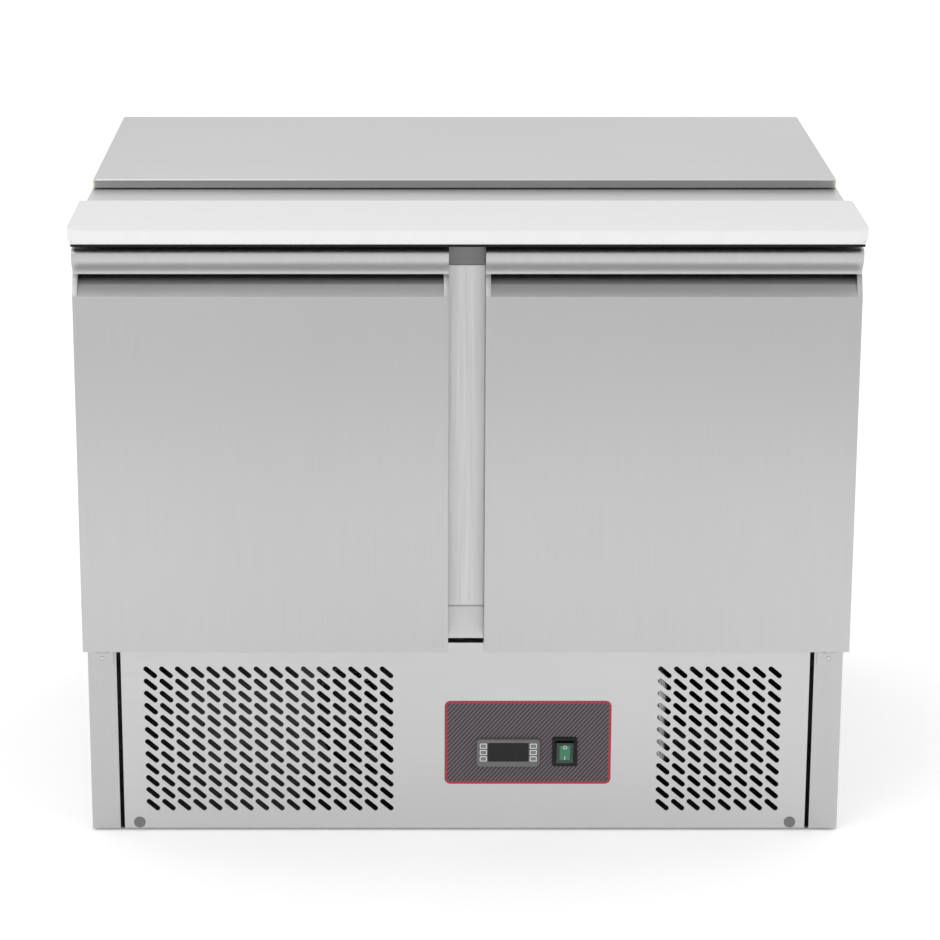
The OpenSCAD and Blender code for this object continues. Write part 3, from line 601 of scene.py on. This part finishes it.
# The lip along the top, the set-back of its lower edge, and the flat nose over its curve
LIP_Z = DOOR_TOP - 31
LIP_SET = 12.0
LIP_ROUND = 6.0
NOSE_H = 10.0
# The finger recess below it, how far its roof runs in behind the lip, and the slope of its end caps
RECESS_Z = LIP_Z - 24
ROOF_IN = 9
CAP_W = 6.0
CAP_SET = 9
CAP_FALL = 4
# The recess carries painted shade from under the lip, darker from SHADE_FROM inwards over SHADE_OVER
SHADE = 0.8
SHADE_FROM = 4
SHADE_OVER = 16
RECESS_DEPTH = 40
SKIN_T = 0.9
PIN_X = DOOR_X0 + 12
PIN_Y = DOOR_Y + 22
PIN_R = 4.4


def door_lines():
    """Side views of the door as (depth, height), point for point: through the recess, and at its end caps."""
    bend = []
    for s in (i / 14 for i in range(15)):
        start = 12 * (1 - s) ** 2 + 38 * s * (1 - s)
        bend.append((start + 27 * s ** 2, RECESS_Z + start + 21 * s ** 2))
    recess = [(0.0, RECESS_Z)] + bend + [(LIP_SET + ROOF_IN, LIP_Z)]
    slope = []
    half = len(recess) // 2
    for i in range(len(recess)):
        if i <= half:
            t = i / half
            slope.append((CAP_SET * t, RECESS_Z + t * (LIP_Z - CAP_FALL - RECESS_Z)))
        else:
            t = (i - half) / (len(recess) - half)
            slope.append((CAP_SET + (LIP_SET - CAP_SET) * t, LIP_Z - CAP_FALL + CAP_FALL * t))
    ogee = []
    for i in range(24):
        t = 1 - i / 24
        back = LIP_SET / 2 * (1 - math.cos(math.pi * t))
        ogee.append((back, LIP_Z + (1 - t) * (DOOR_TOP - NOSE_H - LIP_Z)))
    top = [(LIP_ROUND - LIP_ROUND * math.cos(a), DOOR_TOP - LIP_ROUND + LIP_ROUND * math.sin(a))
           for a in (math.radians(90 * i / 8) for i in range(9))]
    start, end = [(SHELL_D, DOOR_Z), (0.0, DOOR_Z)], [(SHELL_D, DOOR_TOP)]
    return start + recess + ogee + top + end, start + slope + ogee + top + end


def door_shell(side):
    """The outer skin, open at the rear, with the recess between its two end caps."""
    through, capped = door_lines()
    bm = bmesh.new()
    tone = bm.faces.layers.float.new("tone")
    stations = [(DOOR_X0, capped), (DOOR_X0 + CAP_W, capped), (DOOR_X0 + CAP_W, through),
                (DOOR_X1 - CAP_W, through), (DOOR_X1 - CAP_W, capped), (DOOR_X1, capped)]
    made = {}

    def vert(x, u, z):
        key = (round(x, 4), round(u, 4), round(z, 4))
        if key not in made:
            made[key] = bm.verts.new((-side * x, DOOR_Y + u, z))
        return made[key]

    rows = [[vert(x, u, z) for u, z in line] for x, line in stations]
    for a, b in zip(rows, rows[1:]):
        for i in range(len(a) - 1):
            corners = []
            for v in (a[i], a[i + 1], b[i + 1], b[i]):
                if v not in corners:
                    corners.append(v)
            if len(corners) > 2:
                face = bm.faces.new(corners)
                depth = sum(v.co.y for v in corners) / len(corners) - DOOR_Y
                height = sum(v.co.z for v in corners) / len(corners)
                # Painted shade in the finger recess under the lip: these faces get tone, darker further in
                if LIP_Z >= height > RECESS_Z and depth < RECESS_DEPTH:
                    face[tone] = SHADE * min(1.0, max(0.0, (depth - SHADE_FROM) / SHADE_OVER))
    for row in (rows[0], rows[-1]):
        bm.faces.new(row)
    return bm


def door_gasket(side):
    """Magnetic gasket: a flat foot on the door, two bellows folds and a magnet bead against the frame."""
    x0, x1, y0, y1, z0, z1 = extent("left_door_gasket")
    if side > 0:
        x0, x1 = -x1, -x0
    outside = [(0, y0), (0, y0 + 0.8), (1.6, y0 + 1.2), (2.6, y0 + 2.6), (1.4, y0 + 3.4), (1.4, y1 - 0.7),
               (2.2, y1)]
    inside = [(10.0, y1), (10.8, y1 - 0.7), (10.8, y0 + 3.4), (9.4, y0 + 2.6), (10.4, y0 + 1.2),
              (12, y0 + 0.8), (12, y0)]
    return moulding(bmesh.new(), x0, x1, z0, z1, outside + inside)


def pin_holes(side):
    """Holes for the hinge pins, in the door's upper and lower edge."""
    cutter = bmesh.new()
    for z in (DOOR_Z, DOOR_TOP):
        turned(cutter, [(PIN_R, -6), (PIN_R, 6)], along("Z", (side * -PIN_X, PIN_Y, z)), 32)
    return cutter


def add_doors():
    for side, name in ((-1, "left_door"), (1, "right_door")):
        piece(name + "_skin_formed", door_shell(side), name, "stainless", [name + "_skin"], "door",
              bevel=0.9, thick=SKIN_T, cutter=pin_holes(side))
        piece(name + "_gasket_profile", door_gasket(side), name, "gasket_rubber", [name + "_gasket"],
              bevel=0.3)


# ---- lid, board and pans ----


BOARD_PIN_X = 330
PAN_X, PAN_Y = 117.0, 147.0
PAN_DRAFT = 5.0
PAN_BEND = 18
PAN_SHEET = 0.9


def add_lid():
    x0, x1, y0, y1, z0, z1 = extent("lid_skin")
    corners = (5, 1.5, 1.5, 5)
    bm = bmesh.new()
    rings = [(outline(x0, x1, y0, y1, corners), z0)]
    rings += [(inset(x0, x1, y0, y1, corners, e), z1 - drop) for e, drop in rounding(1.6)]
    # Painted shade: the upright rim (band 0) gets tone 1, the dark grey of the steel
    loft(bm, rings, ends=(False, True), accent=(0,))
    piece("lid_shell", bm, "lid", "stainless", ["lid_skin"], "lid", thick=SKIN_T)


def add_board():
    x0, x1, y0, y1, z0, z1 = extent("cutting_board")
    corners = (28, 1.5, 1.5, 28)
    rings = [(inset(x0, x1, y0, y1, corners, 1.2, 10), z0),
             (inset(x0, x1, y0, y1, corners, 0.35, 10), z0 + 0.35),
             (outline(x0, x1, y0, y1, corners, 10), z0 + 1.2)]
    rings += [(inset(x0, x1, y0, y1, corners, e, 10), z1 - drop) for e, drop in rounding(1.8)]
    cutter = bmesh.new()
    for side in (-1, 1):
        turned(cutter, [(5.4, -5), (5.4, 9)], along("Z", (side * BOARD_PIN_X, (y0 + y1) / 2, z0)), 32)
    piece("cutting_board_slab", loft(bmesh.new(), rings), "board", "white_board", ["cutting_board"],
          cutter=cutter)


def pan_rings(cx, cy, z0, z1):
    """Inside from the middle of the bottom up, over the rolled rim, and down the outside."""
    def ring(half_x, half_y, r, z):
        return outline(cx - half_x, cx + half_x, cy - half_y, cy + half_y, r, 8), z

    def floor_ring(r, s, radius, z):
        reach = r * s - PAN_DRAFT - PAN_BEND
        return ring(PAN_X + reach, PAN_Y + reach, radius, z)

    low = z0 + 1.2
    outer = PAN_BEND + PAN_SHEET
    turns = [math.radians(a) for a in range(0, 91, 15)]
    rings = [ring(PAN_X - 40, PAN_Y - 40, 2, low)]
    rings += [floor_ring(PAN_BEND, math.sin(a), 20, low + PAN_BEND * (1 - math.cos(a))) for a in turns]
    for spread, radius, drop in ((0, 25, 6), (0.4, 25.4, 2.2), (2, 26, 0)):
        rings.append(ring(PAN_X + spread, PAN_Y + spread, radius, z1 - drop))
    rim = ((130.6, 160.6, 12, 0), (131.7, 161.7, 13, 0.4), (132, 162.2, 13, 0.9), (120, 150, 26, 0.9),
           (118.4, 148.4, 26, 4), (117.9, 147.9, 26, 10))
    rings += [ring(half_x, half_y, radius, z1 - drop) for half_x, half_y, radius, drop in rim]
    for a in reversed(turns):
        rings.append(floor_ring(outer, math.sin(a), 20.9, low + PAN_BEND - outer * math.cos(a)))
    rings.append(ring(PAN_X - 40, PAN_Y - 40, 2, low - PAN_SHEET))
    return rings


def add_pans():
    x0, x1, y0, y1, z0, z1 = extent("food_pans")
    width = (x1 - x0) / 3
    bm = bmesh.new()
    for i in range(3):
        loft(bm, pan_rings(x0 + (i + 0.5) * width, (y0 + y1) / 2, z0, z1))
    piece("food_pans_formed", bm, "cabinet", "stainless", ["food_pans"], "pan")


# ---- controls ----

LABEL = extent("control_label")
FACE_Y = LABEL[2]


def plate_rings(x0, x1, z0, z1, r, rise, ease):
    """A raised plate with an eased front edge."""
    rings = [(outline(x0, x1, z0, z1, r), 0.0), (outline(x0, x1, z0, z1, r), rise - ease)]
    return rings + [(inset(x0, x1, z0, z1, r, e), rise - drop) for e, drop in rounding(ease, (30, 60, 90))]


def add_label():
    x0, x1, y0, y1, z0, z1 = LABEL
    rings = [(outline(x0, x1, z0, z1, 7), 0), (outline(x0, x1, z0, z1, 7), y1 - y0 - 0.05),
             (inset(x0, x1, z0, z1, 7, 0.4), y1 - y0), (inset(x0, x1, z0, z1, 7, 3.2), y1 - y0)]
    cutter = bmesh.new()
    for node, margin in (("thermostat_case", 5), ("switch_bezel", 4)):
        a0, a1, _, _, b0, b1 = extent(node)
        hole = outline(a0 + margin, a1 - margin, b0 + margin, b1 - margin, 0.5)
        loft(cutter, [(hole, -3), (hole, 3)], facing(y1))
    bm = loft(bmesh.new(), rings, facing(y1), accent=(0, 1, 2))
    piece("control_label_film", bm, "cabinet", "label_film", ["control_label"], cutter=cutter)


def add_thermostat():
    x0, x1, y0, y1, z0, z1 = extent("thermostat_case")
    w0, w1, window_front, window_rear, wz0, wz1 = extent("thermostat_window")
    body = inset(x0, x1, z0, z1, 2, 2.6)
    rings = [(body, FACE_Y - y1), (body, 0.0)]
    rings += plate_rings(x0, x1, z0, z1, (5, 3, 3, 5), FACE_Y - y0, 1.2)
    cutter = bmesh.new()
    depth = FACE_Y - y0
    opening = outline(w0 - 0.1, w1 + 0.1, wz0 - 0.1, wz1 + 0.1, 1.2)
    loft(cutter, [(opening, depth - 1.1), (opening, depth + 2)], facing(FACE_Y))
    for side in ("left", "right"):
        for row in ("top", "middle", "bottom"):
            key = f"{side}_key_{row}"
            k0, k1, ky0, ky1, kz0, kz1 = extent(key)
            well = outline(k0 - 0.3, k1 + 0.3, kz0 - 0.3, kz1 + 0.3, 1.4)
            loft(cutter, [(well, -2.2), (well, depth + 2)], facing(FACE_Y))
            rise = ky1 - ky0
            cap_rings = plate_rings(k0, k1, kz0, kz1, 1.2, rise, 0.5)
            cap_rings.append((inset(k0, k1, kz0, kz1, 1.2, 1.2), rise))
            cap = loft(bmesh.new(), cap_rings, facing(ky1), accent=(3, 4))
            piece(key + "_cap", cap, key + "_body", "key_plastic", [key])
    piece("thermostat_bezel", loft(bmesh.new(), rings, facing(FACE_Y)), "cabinet", "grey_plastic",
          ["thermostat_case"], cutter=cutter)
    glass = plate_rings(w0, w1, wz0, wz1, 1.1, window_rear - window_front, 0.3)
    piece("thermostat_glass", loft(bmesh.new(), glass, facing(window_rear)), "cabinet", "dark_window",
          ["thermostat_window"])


def add_switch():
    x0, x1, y0, y1, z0, z1 = extent("switch_bezel")
    r0, r1 = extent("switch_rocker")[:2]
    cx, cz = (x0 + x1) / 2, (z0 + z1) / 2
    half = (cx - x0 - 1.5, (z1 - z0) / 2 - 2.5)
    body = outline(cx - half[0], cx + half[0], cz - half[1], cz + half[1], 1)
    rings = [(body, FACE_Y - y1), (body, 0.0)] + plate_rings(x0, x1, z0, z1, 2.5, FACE_Y - y0, 1.1)
    cutter = bmesh.new()
    hole = outline(cx - 10.9, cx + 10.9, cz - 14.3, cz + 14.3, 1)
    loft(cutter, [(hole, -8.9), (hole, 6)], facing(FACE_Y))
    piece("switch_frame", loft(bmesh.new(), rings, facing(FACE_Y)), "cabinet", "black_plastic",
          ["switch_bezel"], cutter=cutter)
    add_rocker((r0 + r1) / 2, cz, r1 - r0)


ROCKER_TILT = math.radians(6)
ROCKER_H = 13.5


def add_rocker(cx, cz, width):
    """A rocker with two concave faces and the usual O and I marks, its lower half pressed in."""
    def place(u, v, x):
        """u is forward of the label's face, v up the rocker, before the tilt."""
        c, s = math.cos(ROCKER_TILT), math.sin(ROCKER_TILT)
        return (x, FACE_Y + -u * c - v * s, cz + -u * s + v * c)

    def front(v):
        t = abs(v) / ROCKER_H
        return 3.4 + 1.2 * t - 0.5 * math.sin(math.pi * min(t, 1))

    rows = [v * ROCKER_H / 10 for v in range(-10, 11)]
    bm = bmesh.new()
    tone = bm.faces.layers.float.new("tone")
    half = width / 2 - 0.05
    columns = []
    lens = half * 0.6
    for s, lower in ((-half, 0.6), (-half + 0.6, 0.0), (-lens, 0.0), (lens, 0.0), (half - 0.6, 0.0),
                     (half, 0.6)):
        columns.append([bm.verts.new(place(front(v) - lower, v, cx + s)) for v in rows])
    backs = [[bm.verts.new(place(-4, v * 0.78, cx + s)) for v in rows] for s in (-half, half)]
    for k, (a, b) in enumerate(zip(columns, columns[1:])):
        for i in range(len(rows) - 1):
            face = bm.faces.new((a[i], a[i + 1], b[i + 1], b[i]))
            face[tone] = 0.5 if k == 2 and 3 <= i < len(rows) - 4 else 0.0
    for outer, back in ((columns[0], backs[0]), (columns[-1], backs[1])):
        for i in range(len(rows) - 1):
            bm.faces.new((outer[i], outer[i + 1], back[i + 1], back[i]))
    for i in range(len(rows) - 1):
        bm.faces.new((backs[0][i], backs[0][i + 1], backs[1][i + 1], backs[1][i]))
    for i in (0, -1):
        bm.faces.new([c[i] for c in columns] + [backs[1][i], backs[0][i]])
    bar = [(0, -9.4 + 0.92 * i) for i in range(6)]
    for points, closed in ((circle(0, 7.2, 2.1, 24), True), (bar, False)):
        path = [Vector(place(front(v) + 0.05, v, cx + a)) for a, v in points]
        before = set(bm.faces)
        tube(bm, path, 0.38, 8, closed)
        for face in set(bm.faces) - before:
            face[tone] = 1.0
    piece("power_rocker", bm, "rocker", "green_rocker", ["switch_rocker"])


# ---- screws and hinges ----


SCREW_X = 433
SCREW_DROPS = (8, 20)
TOP_SCREW_X = 430
TOP_SCREW_YS = (-266, -248)
HEAD_R, HEAD_H = 4.5, 1.8
SHANK_R = 2.3


def dome(r, h):
    """Profile of a low domed head of radius r and height h."""
    turns = [math.radians(a) for a in (15, 30, 45, 60, 75, 88)]
    return [(r, 0.0), (r, h * 0.3)] + [(r * math.cos(a), h * (0.3 + 0.7 * math.sin(a))) for a in turns]


def cross_slot(bm, place, reach, width, top, deep):
    """The crossed slots of a screw head, as a cutter."""
    for wide, tall in ((reach, width), (width, reach)):
        hole = outline(-wide, wide, -tall, tall, width * 0.3, 2)
        loft(bm, [(hole, top - deep), (hole, top + 2)], place)


def towards_front(x, y, z):
    """Places a turned shape that points to the front."""
    return lambda a, b, h: (x + a, y - h, z + b)


def downwards(x, y, z):
    """Places a turned shape that points down."""
    return lambda a, b, h: (x + a, y + b, z - h)


def hinge_screw(bm, cutter, place, shank):
    """A domed screw with its shank, and its slots in the cutter."""
    turned(bm, dome(HEAD_R, HEAD_H), place, 32)
    turned(bm, [(SHANK_R, -shank), (SHANK_R, 0.2)], place, 16)
    cross_slot(cutter, place, 2.2, 0.5, HEAD_H, 0.9)


def add_screws():
    x0, x1, y0, _, z0, _ = extent("panel_screws")
    bm = bmesh.new()
    for x in (x0 + 7, x1 - 7):
        turned(bm, dome(7, 1.5), towards_front(x, y0 + 1.5, z0 + 7), 40)
        turned(bm, [(2.4, -12), (2.4, 0.2)], towards_front(x, y0 + 1.5, z0 + 7), 16)
    piece("panel_screw_caps", bm, "cabinet", "grey_cap", ["panel_screws"])
    seat_z = extent("hinge_screws")[5] - 5.4
    bracket = extent("bottom_hinge_brackets")
    bm, cutter = bmesh.new(), bmesh.new()
    for side in (-1, 1):
        for drop in SCREW_DROPS:
            hinge_screw(bm, cutter, towards_front(side * SCREW_X, bracket[3] - 2, bracket[4] + 28 - drop), 3)
        for y in TOP_SCREW_YS:
            hinge_screw(bm, cutter, downwards(side * TOP_SCREW_X, y, seat_z), 4)
    piece("hinge_screw_heads", bm, "cabinet", "stainless", ["hinge_screws"], "bright", cutter=cutter)


# ---- inside ----


SHELF_WIRES = 22


def add_shelves():
    for side, name in ((1, "left_shelf"), (-1, "right_shelf")):
        x0, x1, y0, y1, z0, _ = extent("left_shelf")
        z = z0 + 3
        bm = bmesh.new()
        frame_line = [(x0 + 3, y0 + 3, z), (x1 - 3, y0 + 3, z), (x1 - 3, y1 - 3, z), (x0 + 3, y1 - 3, z)]
        rim = [Vector((side * p.x, p.y, p.z)) for p in rounded_path(frame_line, 12, closed=True)]
        tube(bm, rim, 2.9, 14, True)
        for y in (y0 + 60, (y0 + y1) / 2, y1 - 60):
            tube(bm, [Vector((side * (x0 + 4), y, z)), Vector((side * (x1 - 4), y, z))], 2.3, 12)
        for i in range(1, SHELF_WIRES):
            x = side * (x0 + 3 + (x1 - x0 - 6) * i / SHELF_WIRES)
            line = [(x, y0 + 3.4, z + 0.6), (x, y0 + 6.5, z + 3.1), (x, y1 - 6.5, z + 3.1),
                    (x, y1 - 3.4, z + 0.6)]
            tube(bm, rounded_path(line, 3, 3), 1.45, 10)
        piece(name + "_wire", bm, "cabinet", "coated_wire", [name])


def blade_fan(bm, centre, r, hub_r, depth, blades, pitch):
    """Hub with a domed front, and thin cambered blades that twist from root to tip."""
    cx, cy, cz = centre
    front = cy - depth / 2
    hub = [(2.8, depth), (hub_r - 1, depth), (hub_r, depth - 1), (hub_r, 2.5), (hub_r - 0.8, 0.8),
           (hub_r - 3, 0), (2.8, 0)]
    turned(bm, hub, along("Y", (cx, front, cz)), 40, closed=True)
    rows, columns = 7, 9
    for b in range(blades):
        spin = 2 * math.pi * b / blades
        sides = []
        for face in (-0.5, 0.5):
            grid = []
            for i in range(rows):
                f = i / (rows - 1)
                radius = hub_r - 0.6 + (r - hub_r + 0.1) * f
                width = math.radians(360 / blades * (0.60 + 0.18 * math.sin(math.pi * f * 0.8)))
                tilt = math.radians(pitch - 12 * f)
                line = []
                for j in range(columns):
                    t = j / (columns - 1) - 0.5
                    a = spin + width * t + 0.25 * f
                    lift = math.tan(tilt) * radius * width * t * 0.5 + 1.5 * (0.25 - t * t) * 4
                    limit = depth / 2 + r * 0.12
                    y = cy + max(-limit, min(limit, lift)) + face * 1.5 * (1 - 0.5 * abs(2 * t) ** 3)
                    line.append(bm.verts.new((cx + radius * math.cos(a), y, cz + radius * math.sin(a))))
                grid.append(line)
            sides.append(grid)
        for grid in sides:
            for i in range(rows - 1):
                for j in range(columns - 1):
                    bm.faces.new((grid[i][j], grid[i + 1][j], grid[i + 1][j + 1], grid[i][j + 1]))
        low, high = sides
        edge = [(i, 0) for i in range(rows)] + [(rows - 1, j) for j in range(1, columns)]
        edge += [(i, columns - 1) for i in range(rows - 2, -1, -1)]
        edge += [(0, j) for j in range(columns - 2, 0, -1)]
        for (i, j), (m, n) in zip(edge, edge[1:] + edge[:1]):
            bm.faces.new((low[i][j], low[m][n], high[m][n], high[i][j]))
    return bm


CONDENSER_FAN_Z = 128


def add_fans():
    shroud, cover = extent("condenser_shroud"), extent("evaporator_cover")
    condenser = ((shroud[0] + shroud[1]) / 2, shroud[2] + 11, CONDENSER_FAN_Z)
    evaporator = ((cover[0] + cover[1]) / 2, cover[2] + 9, (cover[4] + cover[5]) / 2)
    for node, body, centre, radius, hub_r, hub_depth in (
            ("condenser_fan", "condenser_rotor", condenser, 71.6, 24, 16),
            ("evaporator_fan", "evaporator_rotor", evaporator, 47.6, 14, 8)):
        bm = blade_fan(bmesh.new(), centre, radius, hub_r, hub_depth, 5, 28)
        piece(node + "_blades", bm, body, "black_plastic", [node])


COMPRESSOR_X, COMPRESSOR_Y, COMPRESSOR_R = 60.0, 56, 72.0


def add_compressor():
    """A welded shell on its foot plate, with rubber feet, two stubs and the terminal box."""
    z0 = extent("compressor")[4]
    cx, cy, r = COMPRESSOR_X, COMPRESSOR_Y, COMPRESSOR_R
    shell = z0 + 22
    bm = bmesh.new()
    dome_line = [(2, -4), (30, -3.4), (50, -0.5), (62, 5), (69, 13), (r, 24), (r, 74), (r + 1.6, 75),
                 (r + 1.6, 79), (r, 80), (r, 116), (69.5, 126), (63, 135), (50, 141), (30, 144), (2, 144.5)]
    profile = [(radius, shell + height) for radius, height in dome_line]
    turned(bm, profile, along("Z", (cx, cy, 0)), 64)
    plate = (cx - 90, cx + 90, cy - 62, cy + 62)
    loft(bm, [(outline(*plate, 16), z0 + 19), (outline(*plate, 16), z0 + 22)])
    box_line = (cx + r - 8, cx + r + 28, cy - 26, cy + 26)
    small, full = inset(*box_line, 5, 1), outline(*box_line, 5)
    loft(bm, [(small, shell + 40), (full, shell + 41), (full, shell + 94), (small, shell + 95)])
    for sx in (-1, 1):
        for sy in (-1, 1):
            feet = [(9, z0), (12, z0 + 1.5), (12, z0 + 8), (9.5, z0 + 10), (12, z0 + 12), (12, z0 + 19)]
            turned(bm, feet, along("Z", (cx + sx * 70, cy + sy * 50, 0)), 32)
    for dx, dy in ((-30, 0), (20, 20)):
        stub = [(4.6, shell + 130), (4.2, shell + 150), (4.2, shell + 154)]
        turned(bm, stub, along("Z", (cx + dx, cy + dy, 0)), 20)
    piece("compressor_shell", bm, "cabinet", "black_paint", ["compressor"])


def serpentine(x0, x1, y, levels):
    """The corners of a coil's tube, to and fro with return bends outside the fins."""
    points = []
    for k, z in enumerate(levels):
        first, last = (x0, x1) if k % 2 == 0 else (x1, x0)
        points += [(first, y, z), (last, y, z)]
    return points


def add_coil(node, slot, fins, rows, margin, tube_ys, end_plates):
    """Thin fins on serpentine tubes. The end plates, where there are any, are the outermost fins."""
    x0, x1, y0, y1, z0, z1 = extent(node)
    bm = bmesh.new()
    first, last = x0 + 8, x1 - 8
    for i in range(fins + 1):
        x = first + (last - first) * i / fins
        t, in_y, in_z = (1.0, 0, 0) if end_plates and i in (0, fins) else (0.15, 1, 2)
        block(bm, x - t, x + t, y0 + in_y, y1 - in_y, z0 + in_z, z1 - in_z, 0.06)
    low, high = z0 + margin, z1 - margin
    for y in tube_ys:
        levels = [low + (high - low) * k / (rows - 1) for k in range(rows)]
        tube(bm, rounded_path(serpentine(x0 + 5, x1 - 5, y, levels), 9, 6), 3.8, 12)
    piece(node + "_finned", bm, "cabinet", slot, [node])


def add_coils():
    rear = extent("evaporator_coil")[3]
    front = extent("condenser_coil")[2]
    add_coil("evaporator_coil", "galvanised", 44, 4, 14, (rear - 19, rear - 7), False)
    add_coil("condenser_coil", "galvanised", 60, 6, 20, (front + 12, front + 32), True)


def add_pipes():
    """The four copper lines, bent in easy curves on the routes of the CAD tubes."""
    stub, run_z, out_z, roof = 180.7, 225, 215, 246.9
    drier_x, drier_y = 234.4, -240
    discharge = [(30, 56, stub), (30, 56, out_z), (20, -104, out_z), (20, -142, out_z), (20, -142, 184.6),
                 (-2, -142, 184.6)]
    to_drier = [(-2, -162, 24.6), (30, -162, 24.6), (drier_x, drier_y, 24.6), (drier_x, drier_y, 65.8)]
    to_evaporator = [(drier_x, drier_y, 194.2), (drier_x, drier_y, run_z), (150, 206, run_z),
                     (40, 326, run_z), (40, 326, roof)]
    suction = [(-20, 326, roof), (-20, 326, run_z), (80, 76, run_z), (80, 76, stub)]
    bm = bmesh.new()
    for line in (discharge, to_drier, to_evaporator, suction):
        tube(bm, rounded_path(line, 12, 8), 3, 14)
    piece("refrigerant_lines", bm, "cabinet", "copper", ["refrigerant_pipes"])


def add_drier():
    """The filter drier, necked at both ends and wrapped in foil."""
    x0, x1, y0, y1, z0, z1 = extent("filter_drier")
    profile = [(3, z0), (3.6, z0 + 3), (8, z0 + 8), (10.4, z0 + 13), (11, z0 + 18), (11, z0 + 40),
               (10.3, z0 + 42), (10.3, z0 + 45), (11, z0 + 47), (11, z1 - 18), (10.4, z1 - 13),
               (8, z1 - 8), (3.6, z1 - 3), (3, z1)]
    bm = turned(bmesh.new(), profile, along("Z", ((x0 + x1) / 2, (y0 + y1) / 2, 0)), 40)
    piece("filter_drier_wrapped", bm, "cabinet", "galvanised", ["filter_drier"], "foil")


FOOT_XS = (-405, 405)
FOOT_YS = (-229, 305)


def add_feet_and_gland():
    bm = bmesh.new()
    foot = [(17, 0), (18, 0.6), (18, 2.2), (17.4, 3), (5, 3.05), (5, 20), (4.4, 21)]
    for x in FOOT_XS:
        for y in FOOT_YS:
            turned(bm, foot, along("Z", (x, y, 0)), 40)
    piece("levelling_feet_turned", bm, "cabinet", "black_plastic", ["levelling_feet"])
    x0, x1, y0, _, z0, z1 = extent("cable_gland")
    cx, cz = (x0 + x1) / 2, (z0 + z1) / 2
    profile = [(3.4, 0), (9, 0), (9, 13), (14, 13.2), (14, 18.4), (13, 19), (9, 19), (8.6, 20), (3.4, 20)]
    bm = turned(bmesh.new(), profile, along("Y", (cx, y0, cz)), 40, closed=True)
    piece("cable_gland_moulded", bm, "cabinet", "black_plastic", ["cable_gland"])


# ---- CAD nodes that stay ----

# Material: the CAD nodes that keep their own mesh and wear it
KEPT = {
    "side": ("left_side_panel", "right_side_panel", "inner_liner", "bottom_hinge_brackets",
             "left_door_liner", "right_door_liner"),
    "galvanised": ("rear_panel",),
    "unit": ("base_tray", "condenser_shroud", "evaporation_tray"),
    "panel": ("floor_panel", "front_panel"),
    "shade": ("top_rail",),
    "post": ("mullion",),
    "foam": ("wall_foam", "lid_foam", "left_door_foam", "right_door_foam"),
    "deck": ("worktop",),
    "bright": ("board_pins", "shelf_runners", "lid_hinge_bases", "lid_hinge_pins", "lid_hinge_arms"),
    "stainless": ("pan_bars",),
    "bracket": ("top_hinge_brackets",),
    "white_plastic": ("evaporator_cover",),
    "lid": ("lid_liner",),
}
# Node: width of its eased edges in millimetres
EASED = {
    "worktop": 0.5, "mullion": 1.5, "top_hinge_brackets": 0.6, "bottom_hinge_brackets": 0.6,
    "evaporator_cover": 0.7, "left_door_liner": 0.5, "right_door_liner": 0.5, "pan_bars": 0.8,
    "board_pins": 0.8, "shelf_runners": 0.4, "lid_hinge_bases": 0.4, "lid_hinge_arms": 0.4,
    "condenser_shroud": 0.5, "top_rail": 0.3, "floor_panel": 0.3, "left_side_panel": 0.3,
    "right_side_panel": 0.3, "evaporation_tray": 0.3,
}


def dress_kept_nodes():
    """The CAD meshes that show get their materials, and most of them eased edges."""
    for look, nodes in KEPT.items():
        for node in nodes:
            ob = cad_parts[node]
            ob.data.materials.clear()
            ob.data.materials.append(MATERIALS[look])
            if node in EASED:
                weld = ob.modifiers.new("weld", "WELD")
                weld.merge_threshold = 0.00001
                ease = ob.modifiers.new("ease", "BEVEL")
                ease.width, ease.segments, ease.limit_method = EASED[node] * MM, 2, "ANGLE"
                ease.angle_limit = math.radians(40)
                ease.use_clamp_overlap = True


add_camera()
add_surroundings()
add_doors()
add_lid()
add_board()
add_pans()
add_label()
add_thermostat()
add_switch()
add_screws()
add_shelves()
add_fans()
add_compressor()
add_coils()
add_pipes()
add_drier()
add_feet_and_gland()
dress_kept_nodes()
